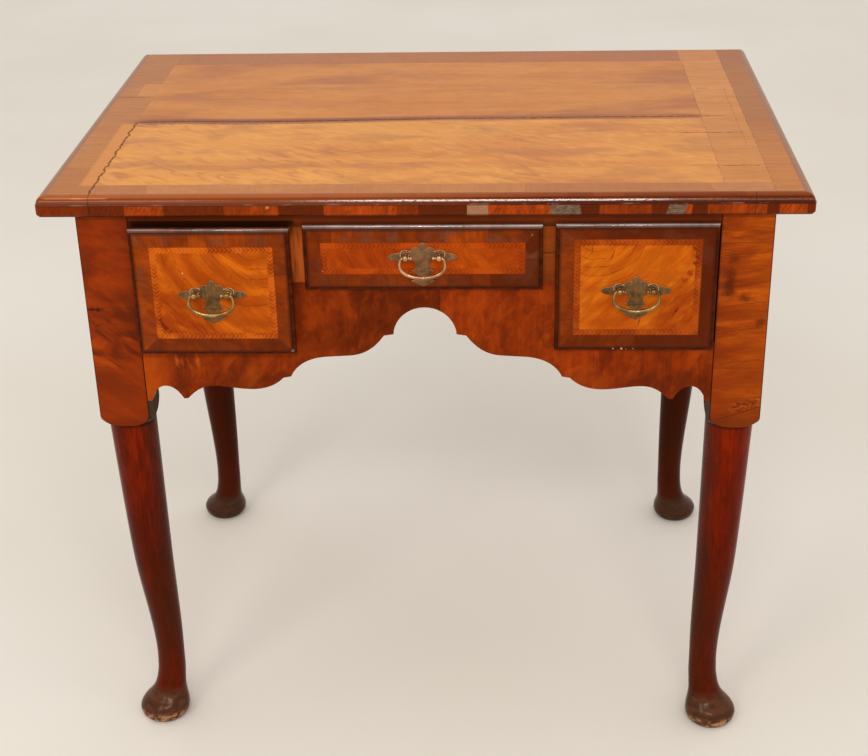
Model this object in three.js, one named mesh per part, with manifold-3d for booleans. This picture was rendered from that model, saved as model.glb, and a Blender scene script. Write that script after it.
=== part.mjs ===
// A walnut-veneered lowboy: three lipped drawers over a scalloped apron, on four offset-turned
// club legs with pad feet. Millimetres. X runs along the front from left to right, Y goes from
// the front to the back, Z is up, and the feet stand on Z = 0.

import * as THREE from 'three';
import { mergeVertices } from 'three/addons/utils/BufferGeometryUtils.js';
import Module from 'manifold-3d';

const wasm = await Module();
wasm.setup();

// Driving sizes of the whole piece
const overallHeight = 711;
const topWidth = 826;
const topDepth = 566;
const topThickness = 22.5;
const topSideOverhang = 39;
const topFrontOverhang = 13;
const topBackOverhang = 8;

// Clearances
const seatGap = 0.3;
const runningGap = 0.5;
const overrun = 2;

// Top boards and edge moulding
const mouldingWidth = 12;
const mouldingOvolo = 8.5;
const mouldingFillet = 1;
const mouldingUndercut = 2.5;
const cleatWidth = 58;
const frontBoardWidth = 250;
const tongueLength = 8;
const tongueThickness = 7;
const tongueSetback = 14;
const ovoloSteps = 5;

// Legs
const postSize = 57;
const postLength = 259.5;
const shoulderRise = 28;
const legTopRadius = 27.4;
const swellHeight = 240;
const swellRadius = 23.2;
const ankleHeight = 92;
const ankleRadius = 16.8;
const padRadius = 31;
const legSides = 24;
const shoulderSides = 32;
const shoulderSteps = 7;

// The foot from the ankle down to the sole: height as a share of the ankle's height, radius as a
// share of the way from the ankle's radius to the pad's, and offset as a share of the ankle's
const footShares = [
  [0.73, 0.02, 0.96],
  [0.54, 0.085, 0.82],
  [0.435, 0.18, 0.675],
  [0.36, 0.34, 0.53],
  [0.295, 0.57, 0.34],
  [0.24, 0.79, 0.17],
  [0.185, 0.94, 0.05],
  [0.136, 1, 0],
  [0.076, 0.93, 0],
  [0.033, 0.76, 0],
  [0, 0.54, 0],
];

// Case joinery
const panelThickness = 20;
const backThickness = 14;
const backInset = 6;
const backSkirt = 66;
const tenonLength = 20;
const tenonThickness = 7;
const tenonHeight = 42;
const backTongueLength = 8;
const backTongueThickness = 6;

// Front frame
const railHeight = 16;
const railDovetailLength = 26;
const railDovetailNeck = 26;
const railDovetailEnd = 34;
const railDovetailThickness = 10;
const dividerWidth = 23;
const centreOpeningWidth = 248;
const deepOpeningHeight = 136.5;
const shallowOpeningHeight = 64.5;
const stubLength = 10;

// Apron: its skirt hangs below the deep drawers, and its web is the wood left over the arch
const apronThickness = 20;
const apronSkirt = 74;
const archWeb = 30.5;
const archRadius = 35;
const curveSteps = 6;

// The scallops from the arch's foot to the post, as shares of half the apron's width and of the
// rise from the apron's tip to the arch's top. Two numbers are a straight line's end, six are
// the two handles and the end of a curve
const scallopShares = [
  [0.1435, 0.706],
  [0.1735, 0.589, 0.208, 0.506, 0.265, 0.494],
  [0.353, 0.48],
  [0.423, 0.463, 0.461, 0.372, 0.478, 0.268],
  [0.506, 0.254],
  [0.53, 0.182, 0.568, 0.13, 0.618, 0.13],
  [0.669, 0.13, 0.713, 0.165, 0.757, 0.165],
  [0.801, 0.165, 0.827, 0.104, 0.852, 0.03],
  [0.868, 0.026],
  [0.883, 0.104, 0.902, 0.165, 0.931, 0.165],
  [0.956, 0.165, 0.975, 0.095, 0.983, 0],
  [1, 0],
];
const archFootShare = 0.72;

// Side panels' lower edge, as shares of half the panel's length and of its rise
const sideSkirt = 70;
const sideRise = 39;
const sideScallopShares = [
  [0.55, 1],
  [0.72, 1, 0.74, 0.45, 0.86, 0.4],
  [0.94, 0.37, 0.965, 0.2, 0.97, 0],
  [1, 0],
];

// Runners and glue blocks
const runnerThickness = 16;
const runnerBearing = 10;
const guideHeight = 15;
const guideWidth = 18;
const glueBlockSize = 22;
const glueBlockHeight = 35;

// Drawers
const lipProud = 8;
const lipOverlap = 4.8;
const lipPostGap = 1.2;
const lipOvolo = 6;
const boxSideGap = 1;
const boxTopGap = 1;
const frontBodyThickness = 16;
const drawerSideThickness = 9;
const drawerBackThickness = 9;
const drawerBottomThickness = 7;
const bottomRebate = 4.5;
const drawerBackClear = 15;
const drawerSideDrop = 3;
const drawerBackDrop = 4;
const tailLength = 12;
const tailFlare = 2.2;
const tailNeckShare = 0.6;
const deepTails = 4;
const shallowTails = 2;
const leftDrawerAjar = 9;

// Handles
const plateWidth = 75;
const plateRise = 13.5;
const plateDrop = 36.3;
const plateThickness = 1.6;
const postSpacing = 36;
const shankRadius = 2.2;
const postBaseRadius = 4.2;
const postBaseThickness = 1.2;
const postNeckRadius = 2;
const postNeckStart = 2.6;
const ballRadius = 3.6;
const ballStandoff = 10;
const bailRadius = 1.7;
const bailSpread = 6.4;
const bailDrop = 23;
const bailBeadRadius = 2.3;
const nutSize = 9;
const nutThickness = 4;
const shankTail = 2;
const centreHandleLift = 3.5;
const brassSides = 12;
const bailSides = 8;
const bailSteps = 32;
const plateSteps = 4;

// Right half of the backplate from the top of its lobe to its lower point. Across it is shares of
// half its width, and up or down it is shares of its rise above or drop below the posts' line
const plateShares = [
  [0.06, 1, 0.115, 0.84, 0.115, 0.65],
  [0.139, 0.55],
  [0.2, 0.67, 0.29, 0.62, 0.347, 0.34],
  [0.373, 0.27],
  [0.427, 0.415, 0.573, 0.43, 0.653, 0.16],
  [0.677, 0.1],
  [0.76, 0.16, 0.88, 0.05, 1, -0.088],
  [0.92, -0.2, 0.747, -0.226, 0.573, -0.193],
  [0.373, -0.154, 0.192, -0.18, 0.197, -0.336],
  [0.203, -0.452, 0.248, -0.477, 0.309, -0.485],
  [0.272, -0.562, 0.16, -0.562, 0.144, -0.65],
  [0.173, -0.744, 0.267, -0.782, 0.347, -0.81],
  [0.253, -0.898, 0.12, -0.915, 0, -1],
];

// Half of the bail outside its post: the arm's handles and end, then the bow's, across as shares
// of the bail's half width and down as shares of its drop
const bailArmShares = [0.965, 0, 1, 0.17, 1, 0.39];
const bailBowShares = [1, 0.78, 0.49, 1, 0, 1];

// Places that follow from the sizes
const caseHalf = topWidth / 2 - topSideOverhang;
const caseFront = -topDepth / 2 + topFrontOverhang;
const caseBack = topDepth / 2 - topBackOverhang;
const topUnderside = overallHeight - topThickness;
const shoulderHeight = topUnderside - postLength;
const postInner = caseHalf - postSize;
const postFrontInner = caseFront + postSize;
const postBackInner = caseBack - postSize;
const panelInner = caseHalf - panelThickness;
const apronBack = caseFront + apronThickness;
const backPanelFront = caseBack - backInset - backThickness;
const openingTop = topUnderside - railHeight;
const deepBottom = openingTop - deepOpeningHeight;
const shallowBottom = openingTop - shallowOpeningHeight;
const apronTipHeight = deepBottom - apronSkirt;
const archTopHeight = shallowBottom - archWeb;
const sideTipHeight = deepBottom - sideSkirt;
const backBottomHeight = deepBottom - backSkirt;
const dividerInner = centreOpeningWidth / 2;
const dividerOuter = dividerInner + dividerWidth;
const dividerMiddle = dividerInner + dividerWidth / 2;
const lipFront = caseFront - lipProud;
const frontBodyBack = caseFront + frontBodyThickness;
const drawerBackEnd = backPanelFront - drawerBackClear;
const handleReach = plateThickness + ballStandoff + ballRadius;

// Finishes
const finishes = {
  figuredWalnut: { color: 0xb5602a, roughness: 0.32, metalness: 0 },
  bandedWalnut: { color: 0x8a3a18, roughness: 0.34, metalness: 0 },
  carcassWalnut: { color: 0x96431c, roughness: 0.36, metalness: 0 },
  turnedWalnut: { color: 0x5a1c0e, roughness: 0.34, metalness: 0 },
  oak: { color: 0x9b7448, roughness: 0.7, metalness: 0 },
  pine: { color: 0x7d5c3a, roughness: 0.78, metalness: 0 },
  agedBrass: { color: 0x6f5a35, roughness: 0.42, metalness: 1 },
  brightBrass: { color: 0xb0905a, roughness: 0.28, metalness: 1 },
};

// Solids and cuts
function solid(geometry) {
  const bare = geometry.clone();
  bare.deleteAttribute('normal');
  bare.deleteAttribute('uv');
  const merged = mergeVertices(bare);
  const corners = merged.index.array;
  const kept = [];
  for (let i = 0; i < corners.length; i += 3) {
    const [a, b, c] = corners.subarray(i, i + 3);
    if (a !== b && b !== c && c !== a) kept.push(a, b, c);
  }
  return new wasm.Manifold(new wasm.Mesh({
    numProp: 3,
    vertProperties: new Float32Array(merged.attributes.position.array),
    triVerts: new Uint32Array(kept),
  }));
}

function geometryOf(body) {
  const mesh = body.getMesh();
  const geometry = new THREE.BufferGeometry();
  geometry.setAttribute('position', new THREE.BufferAttribute(mesh.vertProperties, 3));
  geometry.setIndex(new THREE.BufferAttribute(mesh.triVerts, 1));
  geometry.computeVertexNormals();
  return geometry;
}

function join(first, ...others) {
  return geometryOf(others.reduce((body, other) => body.add(solid(other)), solid(first)));
}

function cut(first, ...tools) {
  return geometryOf(tools.reduce((body, tool) => body.subtract(solid(tool)), solid(first)));
}

function common(first, second) {
  return geometryOf(solid(first).intersect(solid(second)));
}

function moveVertices(geometry, place) {
  const points = geometry.attributes.position;
  for (let i = 0; i < points.count; i += 1) {
    const [x, y, z] = place(points.getX(i), points.getY(i), points.getZ(i), i);
    points.setXYZ(i, x, y, z);
  }
  return geometry;
}

// A box between two places on each axis, given in either order
function block(xs, ys, zs) {
  const pick = (value, ends) => (value > 0 ? Math.max(...ends) : Math.min(...ends));
  return moveVertices(
    new THREE.BoxGeometry(1, 1, 1),
    (x, y, z) => [pick(x, xs), pick(y, ys), pick(z, zs)],
  );
}

// A shape extruded by one unit, whose ends are then put in place
function extruded(shape, place) {
  const options = { depth: 1, bevelEnabled: false, curveSegments: curveSteps };
  return moveVertices(
    new THREE.ExtrudeGeometry(shape, options),
    (u, v, end) => place(u, v, end > 0),
  );
}

// Prisms with a flat outline: seen from the front, from the right-hand side and from above
function frontPrism(shape, front, back) {
  return extruded(shape, (u, v, far) => [u, far ? front : back, v]);
}

function sidePrism(shape, from, to) {
  const [low, high] = [Math.min(from, to), Math.max(from, to)];
  return extruded(shape, (u, v, far) => [far ? high : low, u, v]);
}

function planPrism(shape, bottom, top) {
  return extruded(shape, (u, v, far) => [u, v, far ? top : bottom]);
}

function outline(points) {
  return new THREE.Shape(points.map(([u, v]) => new THREE.Vector2(u, v)));
}

// Adds lines and curves given as shares to a path
function follow(path, table, across, up) {
  for (const shares of table) {
    const sizes = shares.map((share, i) => (i % 2 ? up(share) : across(share)));
    if (sizes.length === 2) path.lineTo(...sizes);
    else path.bezierCurveTo(...sizes);
  }
  return path;
}

// A closed outline from its right half, which runs from one middle point to another
function mirrored(half) {
  const left = half
    .filter((point) => point.x > 0)
    .map((point) => new THREE.Vector2(-point.x, point.y))
    .reverse();
  return [...half, ...left];
}

function piece(name, geometry, finish) {
  const mesh = new THREE.Mesh(geometry, new THREE.MeshStandardMaterial(finishes[finish]));
  mesh.name = name;
  return mesh;
}

// Top
function topBoard(name, front, back, finish) {
  const half = topWidth / 2 - cleatWidth;
  const middle = overallHeight - topThickness / 2;
  const board = block([-half, half], [front, back], [topUnderside, overallHeight]);
  const tongue = block(
    [-half - tongueLength, half + tongueLength],
    [front + tongueSetback, back - tongueSetback],
    [middle - tongueThickness / 2, middle + tongueThickness / 2],
  );
  return piece(name, join(board, tongue), finish);
}

function topCleat(name, side) {
  const inner = topWidth / 2 - cleatWidth;
  const front = -topDepth / 2 + mouldingWidth;
  const back = topDepth / 2;
  const middle = overallHeight - topThickness / 2;
  const cleat = block(
    [side * inner, side * (topWidth / 2 - mouldingWidth)],
    [front, back],
    [topUnderside, overallHeight],
  );
  const groove = block(
    [side * (inner - overrun), side * (inner + tongueLength + seatGap)],
    [front + tongueSetback - seatGap, back - tongueSetback + seatGap],
    [
      middle - tongueThickness / 2 - seatGap,
      middle + tongueThickness / 2 + seatGap,
    ],
  );
  return piece(name, cut(cleat, groove), 'bandedWalnut');
}

// Ovolo, fillet, upright face and undercut, measured inwards from the edge of the top
function mouldingProfile() {
  const top = overallHeight;
  const faceTop = top - mouldingOvolo - mouldingFillet;
  const profile = new THREE.Shape();
  profile.moveTo(mouldingWidth, topUnderside);
  profile.lineTo(mouldingWidth, top);
  profile.lineTo(mouldingFillet + mouldingOvolo, top);
  for (let step = 1; step <= ovoloSteps; step += 1) {
    const turn = (step / ovoloSteps) * (Math.PI / 2);
    profile.lineTo(
      mouldingFillet + mouldingOvolo * (1 - Math.sin(turn)),
      top - mouldingOvolo * (1 - Math.cos(turn)),
    );
  }
  profile.lineTo(mouldingFillet, faceTop);
  profile.lineTo(0, faceTop);
  profile.lineTo(0, topUnderside + mouldingUndercut);
  profile.lineTo(mouldingUndercut, topUnderside);
  return profile;
}

function frontMoulding() {
  const half = topWidth / 2;
  const place = (inset, z, far) => [
    far ? half - inset : inset - half,
    inset - topDepth / 2,
    z,
  ];
  return piece('top_front_moulding', extruded(mouldingProfile(), place), 'bandedWalnut');
}

function sideMoulding(name, side) {
  const place = (inset, z, far) => [
    side * (topWidth / 2 - inset),
    far === side > 0 ? topDepth / 2 : inset - topDepth / 2,
    z,
  ];
  return piece(name, extruded(mouldingProfile(), place), 'bandedWalnut');
}

// Legs: a square post whose corners are turned away at the shoulder, and a leg turned on a
// slanting axis, so that its inner sides stay in line with the post's inner faces
function legRings() {
  const ankleOffset = postSize / 2 - ankleRadius;
  const foot = footShares.map(([heightShare, radiusShare, offsetShare]) => ({
    height: heightShare * ankleHeight,
    radius: ankleRadius + radiusShare * (padRadius - ankleRadius),
    offset: offsetShare * ankleOffset,
  }));
  const ankle = { height: ankleHeight, radius: ankleRadius, offset: ankleOffset };
  const swell = { height: swellHeight, radius: swellRadius, offset: postSize / 2 - swellRadius };
  const top = {
    height: shoulderHeight + shoulderRise / 2,
    radius: legTopRadius,
    offset: postSize / 2 - legTopRadius,
  };
  const rings = [...foot.reverse(), ankle, swell, top];
  const sole = { ...rings[0], radius: 0 };
  const crown = { ...top, radius: 0 };
  return [sole, ...rings, crown];
}

function turnedLeg(side, end) {
  const rings = legRings();
  const profile = rings.map((ring) => new THREE.Vector2(ring.radius, ring.height));
  return moveVertices(new THREE.LatheGeometry(profile, legSides), (x, y, z, i) => {
    const { offset } = rings[i % rings.length];
    return [x - side * offset, -z - end * offset, y];
  });
}

function shoulderCutter() {
  const corner = Math.hypot(postSize, postSize) / 2;
  const profile = [new THREE.Vector2(0, shoulderHeight)];
  for (let step = 0; step <= shoulderSteps; step += 1) {
    const turn = (step / shoulderSteps) * (Math.PI / 2);
    profile.push(new THREE.Vector2(
      legTopRadius + (corner - legTopRadius) * Math.sin(turn),
      shoulderHeight + shoulderRise * (1 - Math.cos(turn)),
    ));
  }
  profile.push(new THREE.Vector2(corner + overrun, shoulderHeight + shoulderRise + overrun));
  profile.push(new THREE.Vector2(corner + overrun, topUnderside + overrun));
  profile.push(new THREE.Vector2(0, topUnderside + overrun));
  return moveVertices(
    new THREE.LatheGeometry(profile, shoulderSides),
    (x, y, z) => [x, -z, y],
  );
}

function leg(name, side, end) {
  const x = side * (caseHalf - postSize / 2);
  const y = end < 0 ? caseFront + postSize / 2 : caseBack - postSize / 2;
  const half = postSize / 2;
  const post = block([-half, half], [-half, half], [shoulderHeight, topUnderside]);
  const whole = join(common(post, shoulderCutter()), turnedLeg(side, end)).translate(x, y, 0);
  const sockets = panelTenons(side, end, seatGap);
  if (end < 0) sockets.push(apronTenon(side, seatGap), railDovetail(side, seatGap));
  else sockets.push(backTongue(side, seatGap));
  return piece(name, cut(whole, ...sockets), 'turnedWalnut');
}

// Tenons, which are also their mortises when they are grown by a gap
function tenonBand(low, high, grow) {
  return [low - grow, high + grow];
}

function panelTenons(side, end, grow) {
  const shoulder = end < 0 ? postFrontInner : postBackInner;
  const middle = panelInner + panelThickness / 2;
  const depth = tenonLength + grow;
  const upper = topUnderside - tenonHeight / 2;
  const lower = sideTipHeight + sideRise + tenonHeight / 2;
  return [lower, upper - tenonHeight].map((bottom) => block(
    [
      side * (middle - tenonThickness / 2 - grow),
      side * (middle + tenonThickness / 2 + grow),
    ],
    [shoulder - end * overrun, shoulder + end * depth],
    tenonBand(bottom, bottom + tenonHeight, grow),
  ));
}

function apronTenon(side, grow) {
  const middle = caseFront + apronThickness / 2;
  const bottom = deepBottom - tenonHeight - overrun;
  return block(
    [side * (postInner - overrun), side * (postInner + tenonLength + grow)],
    tenonBand(middle - tenonThickness / 2, middle + tenonThickness / 2, grow),
    tenonBand(bottom, bottom + tenonHeight, grow),
  );
}

function railDovetail(side, grow) {
  const middle = caseFront + postSize / 2;
  const neck = railDovetailNeck / 2 + grow;
  const end = railDovetailEnd / 2 + grow;
  const start = postInner - overrun;
  const tip = postInner + railDovetailLength + grow;
  const shape = outline([
    [side * start, middle - side * neck],
    [side * tip, middle - side * end],
    [side * tip, middle + side * end],
    [side * start, middle + side * neck],
  ]);
  const lift = grow > 0 ? overrun : 0;
  return planPrism(shape, topUnderside - railDovetailThickness - grow, topUnderside + lift);
}

function backTongue(side, grow) {
  const middle = backPanelFront + backThickness / 2;
  return block(
    [side * (postInner - overrun), side * (postInner + backTongueLength + grow)],
    tenonBand(middle - backTongueThickness / 2, middle + backTongueThickness / 2, grow),
    tenonBand(backBottomHeight + tenonHeight / 2, topUnderside - tenonHeight / 2, grow),
  );
}

function dividerStub(side, low, high, grow) {
  const middle = caseFront + apronThickness / 2;
  return block(
    [side * (dividerInner + dividerWidth / 4 - grow), side * (dividerOuter - dividerWidth / 4 + grow)],
    tenonBand(middle - tenonThickness / 2, middle + tenonThickness / 2, grow),
    [low, high],
  );
}

function dividerSockets() {
  return [-1, 1].flatMap((side) => [
    dividerStub(side, shallowBottom - stubLength - seatGap, shallowBottom + overrun, seatGap),
    dividerStub(side, openingTop - overrun, openingTop + stubLength + seatGap, seatGap),
  ]);
}

// Front frame
function frontApron() {
  const rise = archTopHeight - apronTipHeight;
  const footHeight = apronTipHeight + archFootShare * rise;
  const archCentre = archTopHeight - archRadius;
  const footAngle = Math.asin((footHeight - archCentre) / archRadius);
  const half = new THREE.Path();
  half.moveTo(0, archTopHeight);
  half.absarc(0, archCentre, archRadius, Math.PI / 2, footAngle, true);
  follow(half, scallopShares, (share) => share * postInner, (share) => apronTipHeight + share * rise);
  half.lineTo(postInner, deepBottom);
  half.lineTo(dividerOuter, deepBottom);
  half.lineTo(dividerOuter, shallowBottom);
  const right = half.getPoints(curveSteps);
  const board = frontPrism(new THREE.Shape(mirrored(right).reverse()), caseFront, apronBack);
  const whole = join(board, apronTenon(-1, 0), apronTenon(1, 0));
  return piece('front_apron', cut(whole, ...dividerSockets()), 'carcassWalnut');
}

function frontRail() {
  const rail = block(
    [-postInner, postInner],
    [caseFront, postFrontInner],
    [openingTop, topUnderside],
  );
  const whole = join(rail, railDovetail(-1, 0), railDovetail(1, 0));
  return piece('front_top_rail', cut(whole, ...dividerSockets()), 'carcassWalnut');
}

function divider(name, side) {
  const bar = block(
    [side * dividerInner, side * dividerOuter],
    [caseFront, apronBack],
    [shallowBottom, openingTop],
  );
  const stub = dividerStub(side, shallowBottom - stubLength, openingTop + stubLength, 0);
  return piece(name, join(bar, stub), 'carcassWalnut');
}

// Sides and back
function sidePanel(name, side) {
  const halfLength = (postBackInner - postFrontInner) / 2;
  const middle = (postBackInner + postFrontInner) / 2;
  const half = new THREE.Path();
  half.moveTo(0, sideTipHeight + sideRise);
  const up = (share) => sideTipHeight + share * sideRise;
  follow(half, sideScallopShares, (share) => share * halfLength, up);
  half.lineTo(halfLength, topUnderside);
  half.lineTo(0, topUnderside);
  const points = mirrored(half.getPoints(curveSteps)).reverse();
  const shape = outline(points.map(({ x, y }) => [x, y]));
  const board = sidePrism(shape, side * panelInner, side * caseHalf).translate(0, middle, 0);
  const tenons = [...panelTenons(side, -1, 0), ...panelTenons(side, 1, 0)];
  return piece(name, join(board, ...tenons), 'carcassWalnut');
}

function backPanel() {
  const board = block(
    [-postInner, postInner],
    [backPanelFront, backPanelFront + backThickness],
    [backBottomHeight, topUnderside],
  );
  return piece('back_panel', join(board, backTongue(-1, 0), backTongue(1, 0)), 'pine');
}

// Runners: a bearing strip with a guide on it
function outerRunner(name, side) {
  const inner = boxOuter - runnerBearing;
  const guideInner = boxOuter + runningGap;
  const long = [apronBack, backPanelFront];
  const short = [postFrontInner, postBackInner];
  const low = [deepBottom - runnerThickness, deepBottom];
  const high = [deepBottom - overrun, deepBottom + guideHeight];
  return piece(name, join(
    block([side * inner, side * postInner], long, low),
    block([side * (postInner - overrun), side * panelInner], short, low),
    block([side * guideInner, side * postInner], long, high),
    block([side * guideInner, side * (guideInner + guideWidth)], short, high),
  ), 'oak');
}

function innerRunner(name, side, bearingEdge, guideFace, level) {
  const long = [apronBack, backPanelFront];
  return piece(name, join(
    block([side * bearingEdge, side * dividerMiddle], long, [level - runnerThickness, level]),
    block([side * guideFace, side * dividerMiddle], long, [level - overrun, level + guideHeight]),
  ), 'oak');
}

function glueBlock(name, side) {
  const corner = side * postInner;
  const points = [
    [corner, apronBack],
    [corner - side * glueBlockSize, apronBack],
    [corner, apronBack + glueBlockSize],
  ];
  const top = deepBottom - runnerThickness - runningGap;
  const shape = outline(side > 0 ? points.reverse() : points);
  return piece(name, planPrism(shape, top - glueBlockHeight, top), 'pine');
}

// Drawers
const boxInner = dividerOuter + boxSideGap;
const boxOuter = postInner - lipPostGap - lipOverlap;

function tail(middle, base, direction, neck, length, grow) {
  const flare = tailFlare * (length / tailLength);
  const root = base - direction * overrun;
  const tip = base + direction * (length + grow);
  return outline([
    [root, middle - neck - grow],
    [root, middle + neck + grow],
    [tip, middle + neck + flare + grow],
    [tip, middle - neck - flare - grow],
  ]);
}

// The dovetails of one drawer side, grown by a gap when they cut their sockets
function tails(drawer, xs, direction, grow) {
  const low = direction < 0 ? drawer.bottom : drawer.bottom + drawerBottomThickness;
  const high = direction < 0 ? drawer.sideTop : drawer.backTop;
  const pitch = (high - low) / drawer.tails;
  const neck = (pitch * tailNeckShare) / 2;
  const base = direction < 0 ? frontBodyBack : drawerBackEnd - drawerBackThickness;
  const length = direction < 0 ? tailLength : drawerBackThickness;
  return Array.from({ length: drawer.tails }, (_, i) => sidePrism(
    tail(low + (i + 0.5) * pitch, base, direction, neck, length, grow),
    ...xs,
  ));
}

function sideSpan(drawer, side, grow) {
  const outer = side < 0 ? drawer.box[0] : drawer.box[1];
  return [outer + side * (grow > 0 ? overrun : 0), outer - side * (drawerSideThickness + grow)];
}

function bottomSpan(drawer) {
  const inset = drawerSideThickness - bottomRebate + seatGap;
  return [drawer.box[0] + inset, drawer.box[1] - inset];
}

function drawerFront(drawer) {
  const [left, right] = drawer.lip;
  const low = drawer.opening - lipOverlap;
  const high = openingTop + lipOverlap;
  const face = outline([
    [left + lipOvolo, low + lipOvolo],
    [right - lipOvolo, low + lipOvolo],
    [right - lipOvolo, high - lipOvolo],
    [left + lipOvolo, high - lipOvolo],
  ]);
  const pillow = new THREE.ExtrudeGeometry(face, {
    depth: 2 * lipProud,
    bevelThickness: lipOvolo,
    bevelSize: lipOvolo,
    bevelSegments: ovoloSteps,
  });
  moveVertices(pillow, (u, v, w) => [u, lipFront + 2 * lipProud + lipOvolo - w, v]);
  const rim = block([left, right], [lipFront, caseFront - seatGap], [low, high]);
  const body = block(drawer.box, [caseFront - lipOverlap, frontBodyBack], [drawer.bottom, drawer.top]);
  const rebate = block(
    bottomSpan({ box: [drawer.box[0] - 2 * seatGap, drawer.box[1] + 2 * seatGap] }),
    [frontBodyBack - bottomRebate - seatGap, frontBodyBack + overrun],
    [drawer.bottom - overrun, drawer.bottom + drawerBottomThickness + seatGap],
  );
  const sockets = [-1, 1].flatMap((side) => (
    tails(drawer, sideSpan(drawer, side, seatGap), -1, seatGap)
  ));
  const bores = [-1, 1].map((side) => shankBore(
    drawer.handleX + (side * postSpacing) / 2,
    drawer.handleZ,
  ));
  return cut(join(common(pillow, rim), body), rebate, ...sockets, ...bores);
}

function shankBore(x, z) {
  return moveVertices(
    new THREE.CylinderGeometry(
      shankRadius + seatGap,
      shankRadius + seatGap,
      lipProud + frontBodyThickness + 2 * overrun,
      brassSides,
    ),
    (u, v, w) => [x + u, (lipFront + frontBodyBack) / 2 + v, z + w],
  );
}

function drawerSide(drawer, side) {
  const xs = sideSpan(drawer, side, 0);
  const inner = xs[1];
  const backBase = drawerBackEnd - drawerBackThickness;
  const board = block(xs, [frontBodyBack, backBase], [drawer.bottom, drawer.sideTop]);
  const rebate = block(
    [inner - side * overrun, inner + side * bottomRebate],
    [frontBodyBack - tailLength - overrun, drawerBackEnd + overrun],
    [drawer.bottom - overrun, drawer.bottom + drawerBottomThickness + seatGap],
  );
  const frontTails = tails(drawer, xs, -1, 0);
  const backTails = tails(drawer, xs, 1, 0);
  return cut(join(board, ...frontTails, ...backTails), rebate);
}

function drawerBack(drawer) {
  const board = block(
    drawer.box,
    [drawerBackEnd - drawerBackThickness, drawerBackEnd],
    [drawer.bottom + drawerBottomThickness + seatGap, drawer.backTop],
  );
  const sockets = [-1, 1].flatMap((side) => (
    tails(drawer, sideSpan(drawer, side, seatGap), 1, seatGap)
  ));
  return cut(board, ...sockets);
}

function drawerBottom(drawer) {
  return block(
    bottomSpan(drawer),
    [frontBodyBack - bottomRebate, drawerBackEnd],
    [drawer.bottom, drawer.bottom + drawerBottomThickness],
  );
}

// Handles
function backplate(x, z) {
  const halfPath = new THREE.Path();
  halfPath.moveTo(0, plateRise);
  const across = (share) => (share * plateWidth) / 2;
  const up = (share) => share * (share > 0 ? plateRise : plateDrop);
  follow(halfPath, plateShares, across, up);
  const points = mirrored(halfPath.getPoints(plateSteps)).reverse();
  const shape = outline(points.map((point) => [point.x + x, point.y + z]));
  for (const side of [-1, 1]) {
    const hole = new THREE.Path();
    hole.absarc(x + (side * postSpacing) / 2, z, shankRadius + seatGap, 0, 2 * Math.PI, true);
    shape.holes.push(hole);
  }
  return frontPrism(shape, lipFront - plateThickness, lipFront);
}

function handlePost(x, z) {
  const shankEnd = plateThickness + lipProud + frontBodyThickness + nutThickness + shankTail;
  const neckTurn = Math.asin(postNeckRadius / ballRadius);
  const profile = [
    [0, -shankEnd],
    [shankRadius, -shankEnd],
    [shankRadius, 0],
    [postBaseRadius, 0],
    [postBaseRadius, postBaseThickness],
    [postNeckRadius, postNeckStart],
  ];
  const steps = brassSides / 2;
  for (let step = 0; step <= steps; step += 1) {
    const turn = neckTurn + (step / steps) * (Math.PI - neckTurn);
    const radius = step === steps ? 0 : ballRadius * Math.sin(turn);
    profile.push([radius, ballStandoff - ballRadius * Math.cos(turn)]);
  }
  const points = profile.map(([radius, height]) => new THREE.Vector2(radius, height));
  const turned = moveVertices(
    new THREE.LatheGeometry(points, brassSides),
    (u, v, w) => [x + u, lipFront - plateThickness - v, z - w],
  );
  const eye = moveVertices(
    new THREE.CylinderGeometry(
      bailRadius + seatGap,
      bailRadius + seatGap,
      2 * ballRadius + overrun,
      brassSides,
    ),
    (u, v, w) => [x + v, lipFront - plateThickness - ballStandoff - u, z + w],
  );
  return cut(turned, eye);
}

function handleNut(x, z) {
  const half = nutSize / 2;
  const shape = outline([
    [x - half, z - half],
    [x + half, z - half],
    [x + half, z + half],
    [x - half, z + half],
  ]);
  const hole = new THREE.Path();
  hole.absarc(x, z, shankRadius + seatGap, 0, 2 * Math.PI, true);
  shape.holes.push(hole);
  return frontPrism(shape, frontBodyBack, frontBodyBack + nutThickness);
}

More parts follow.
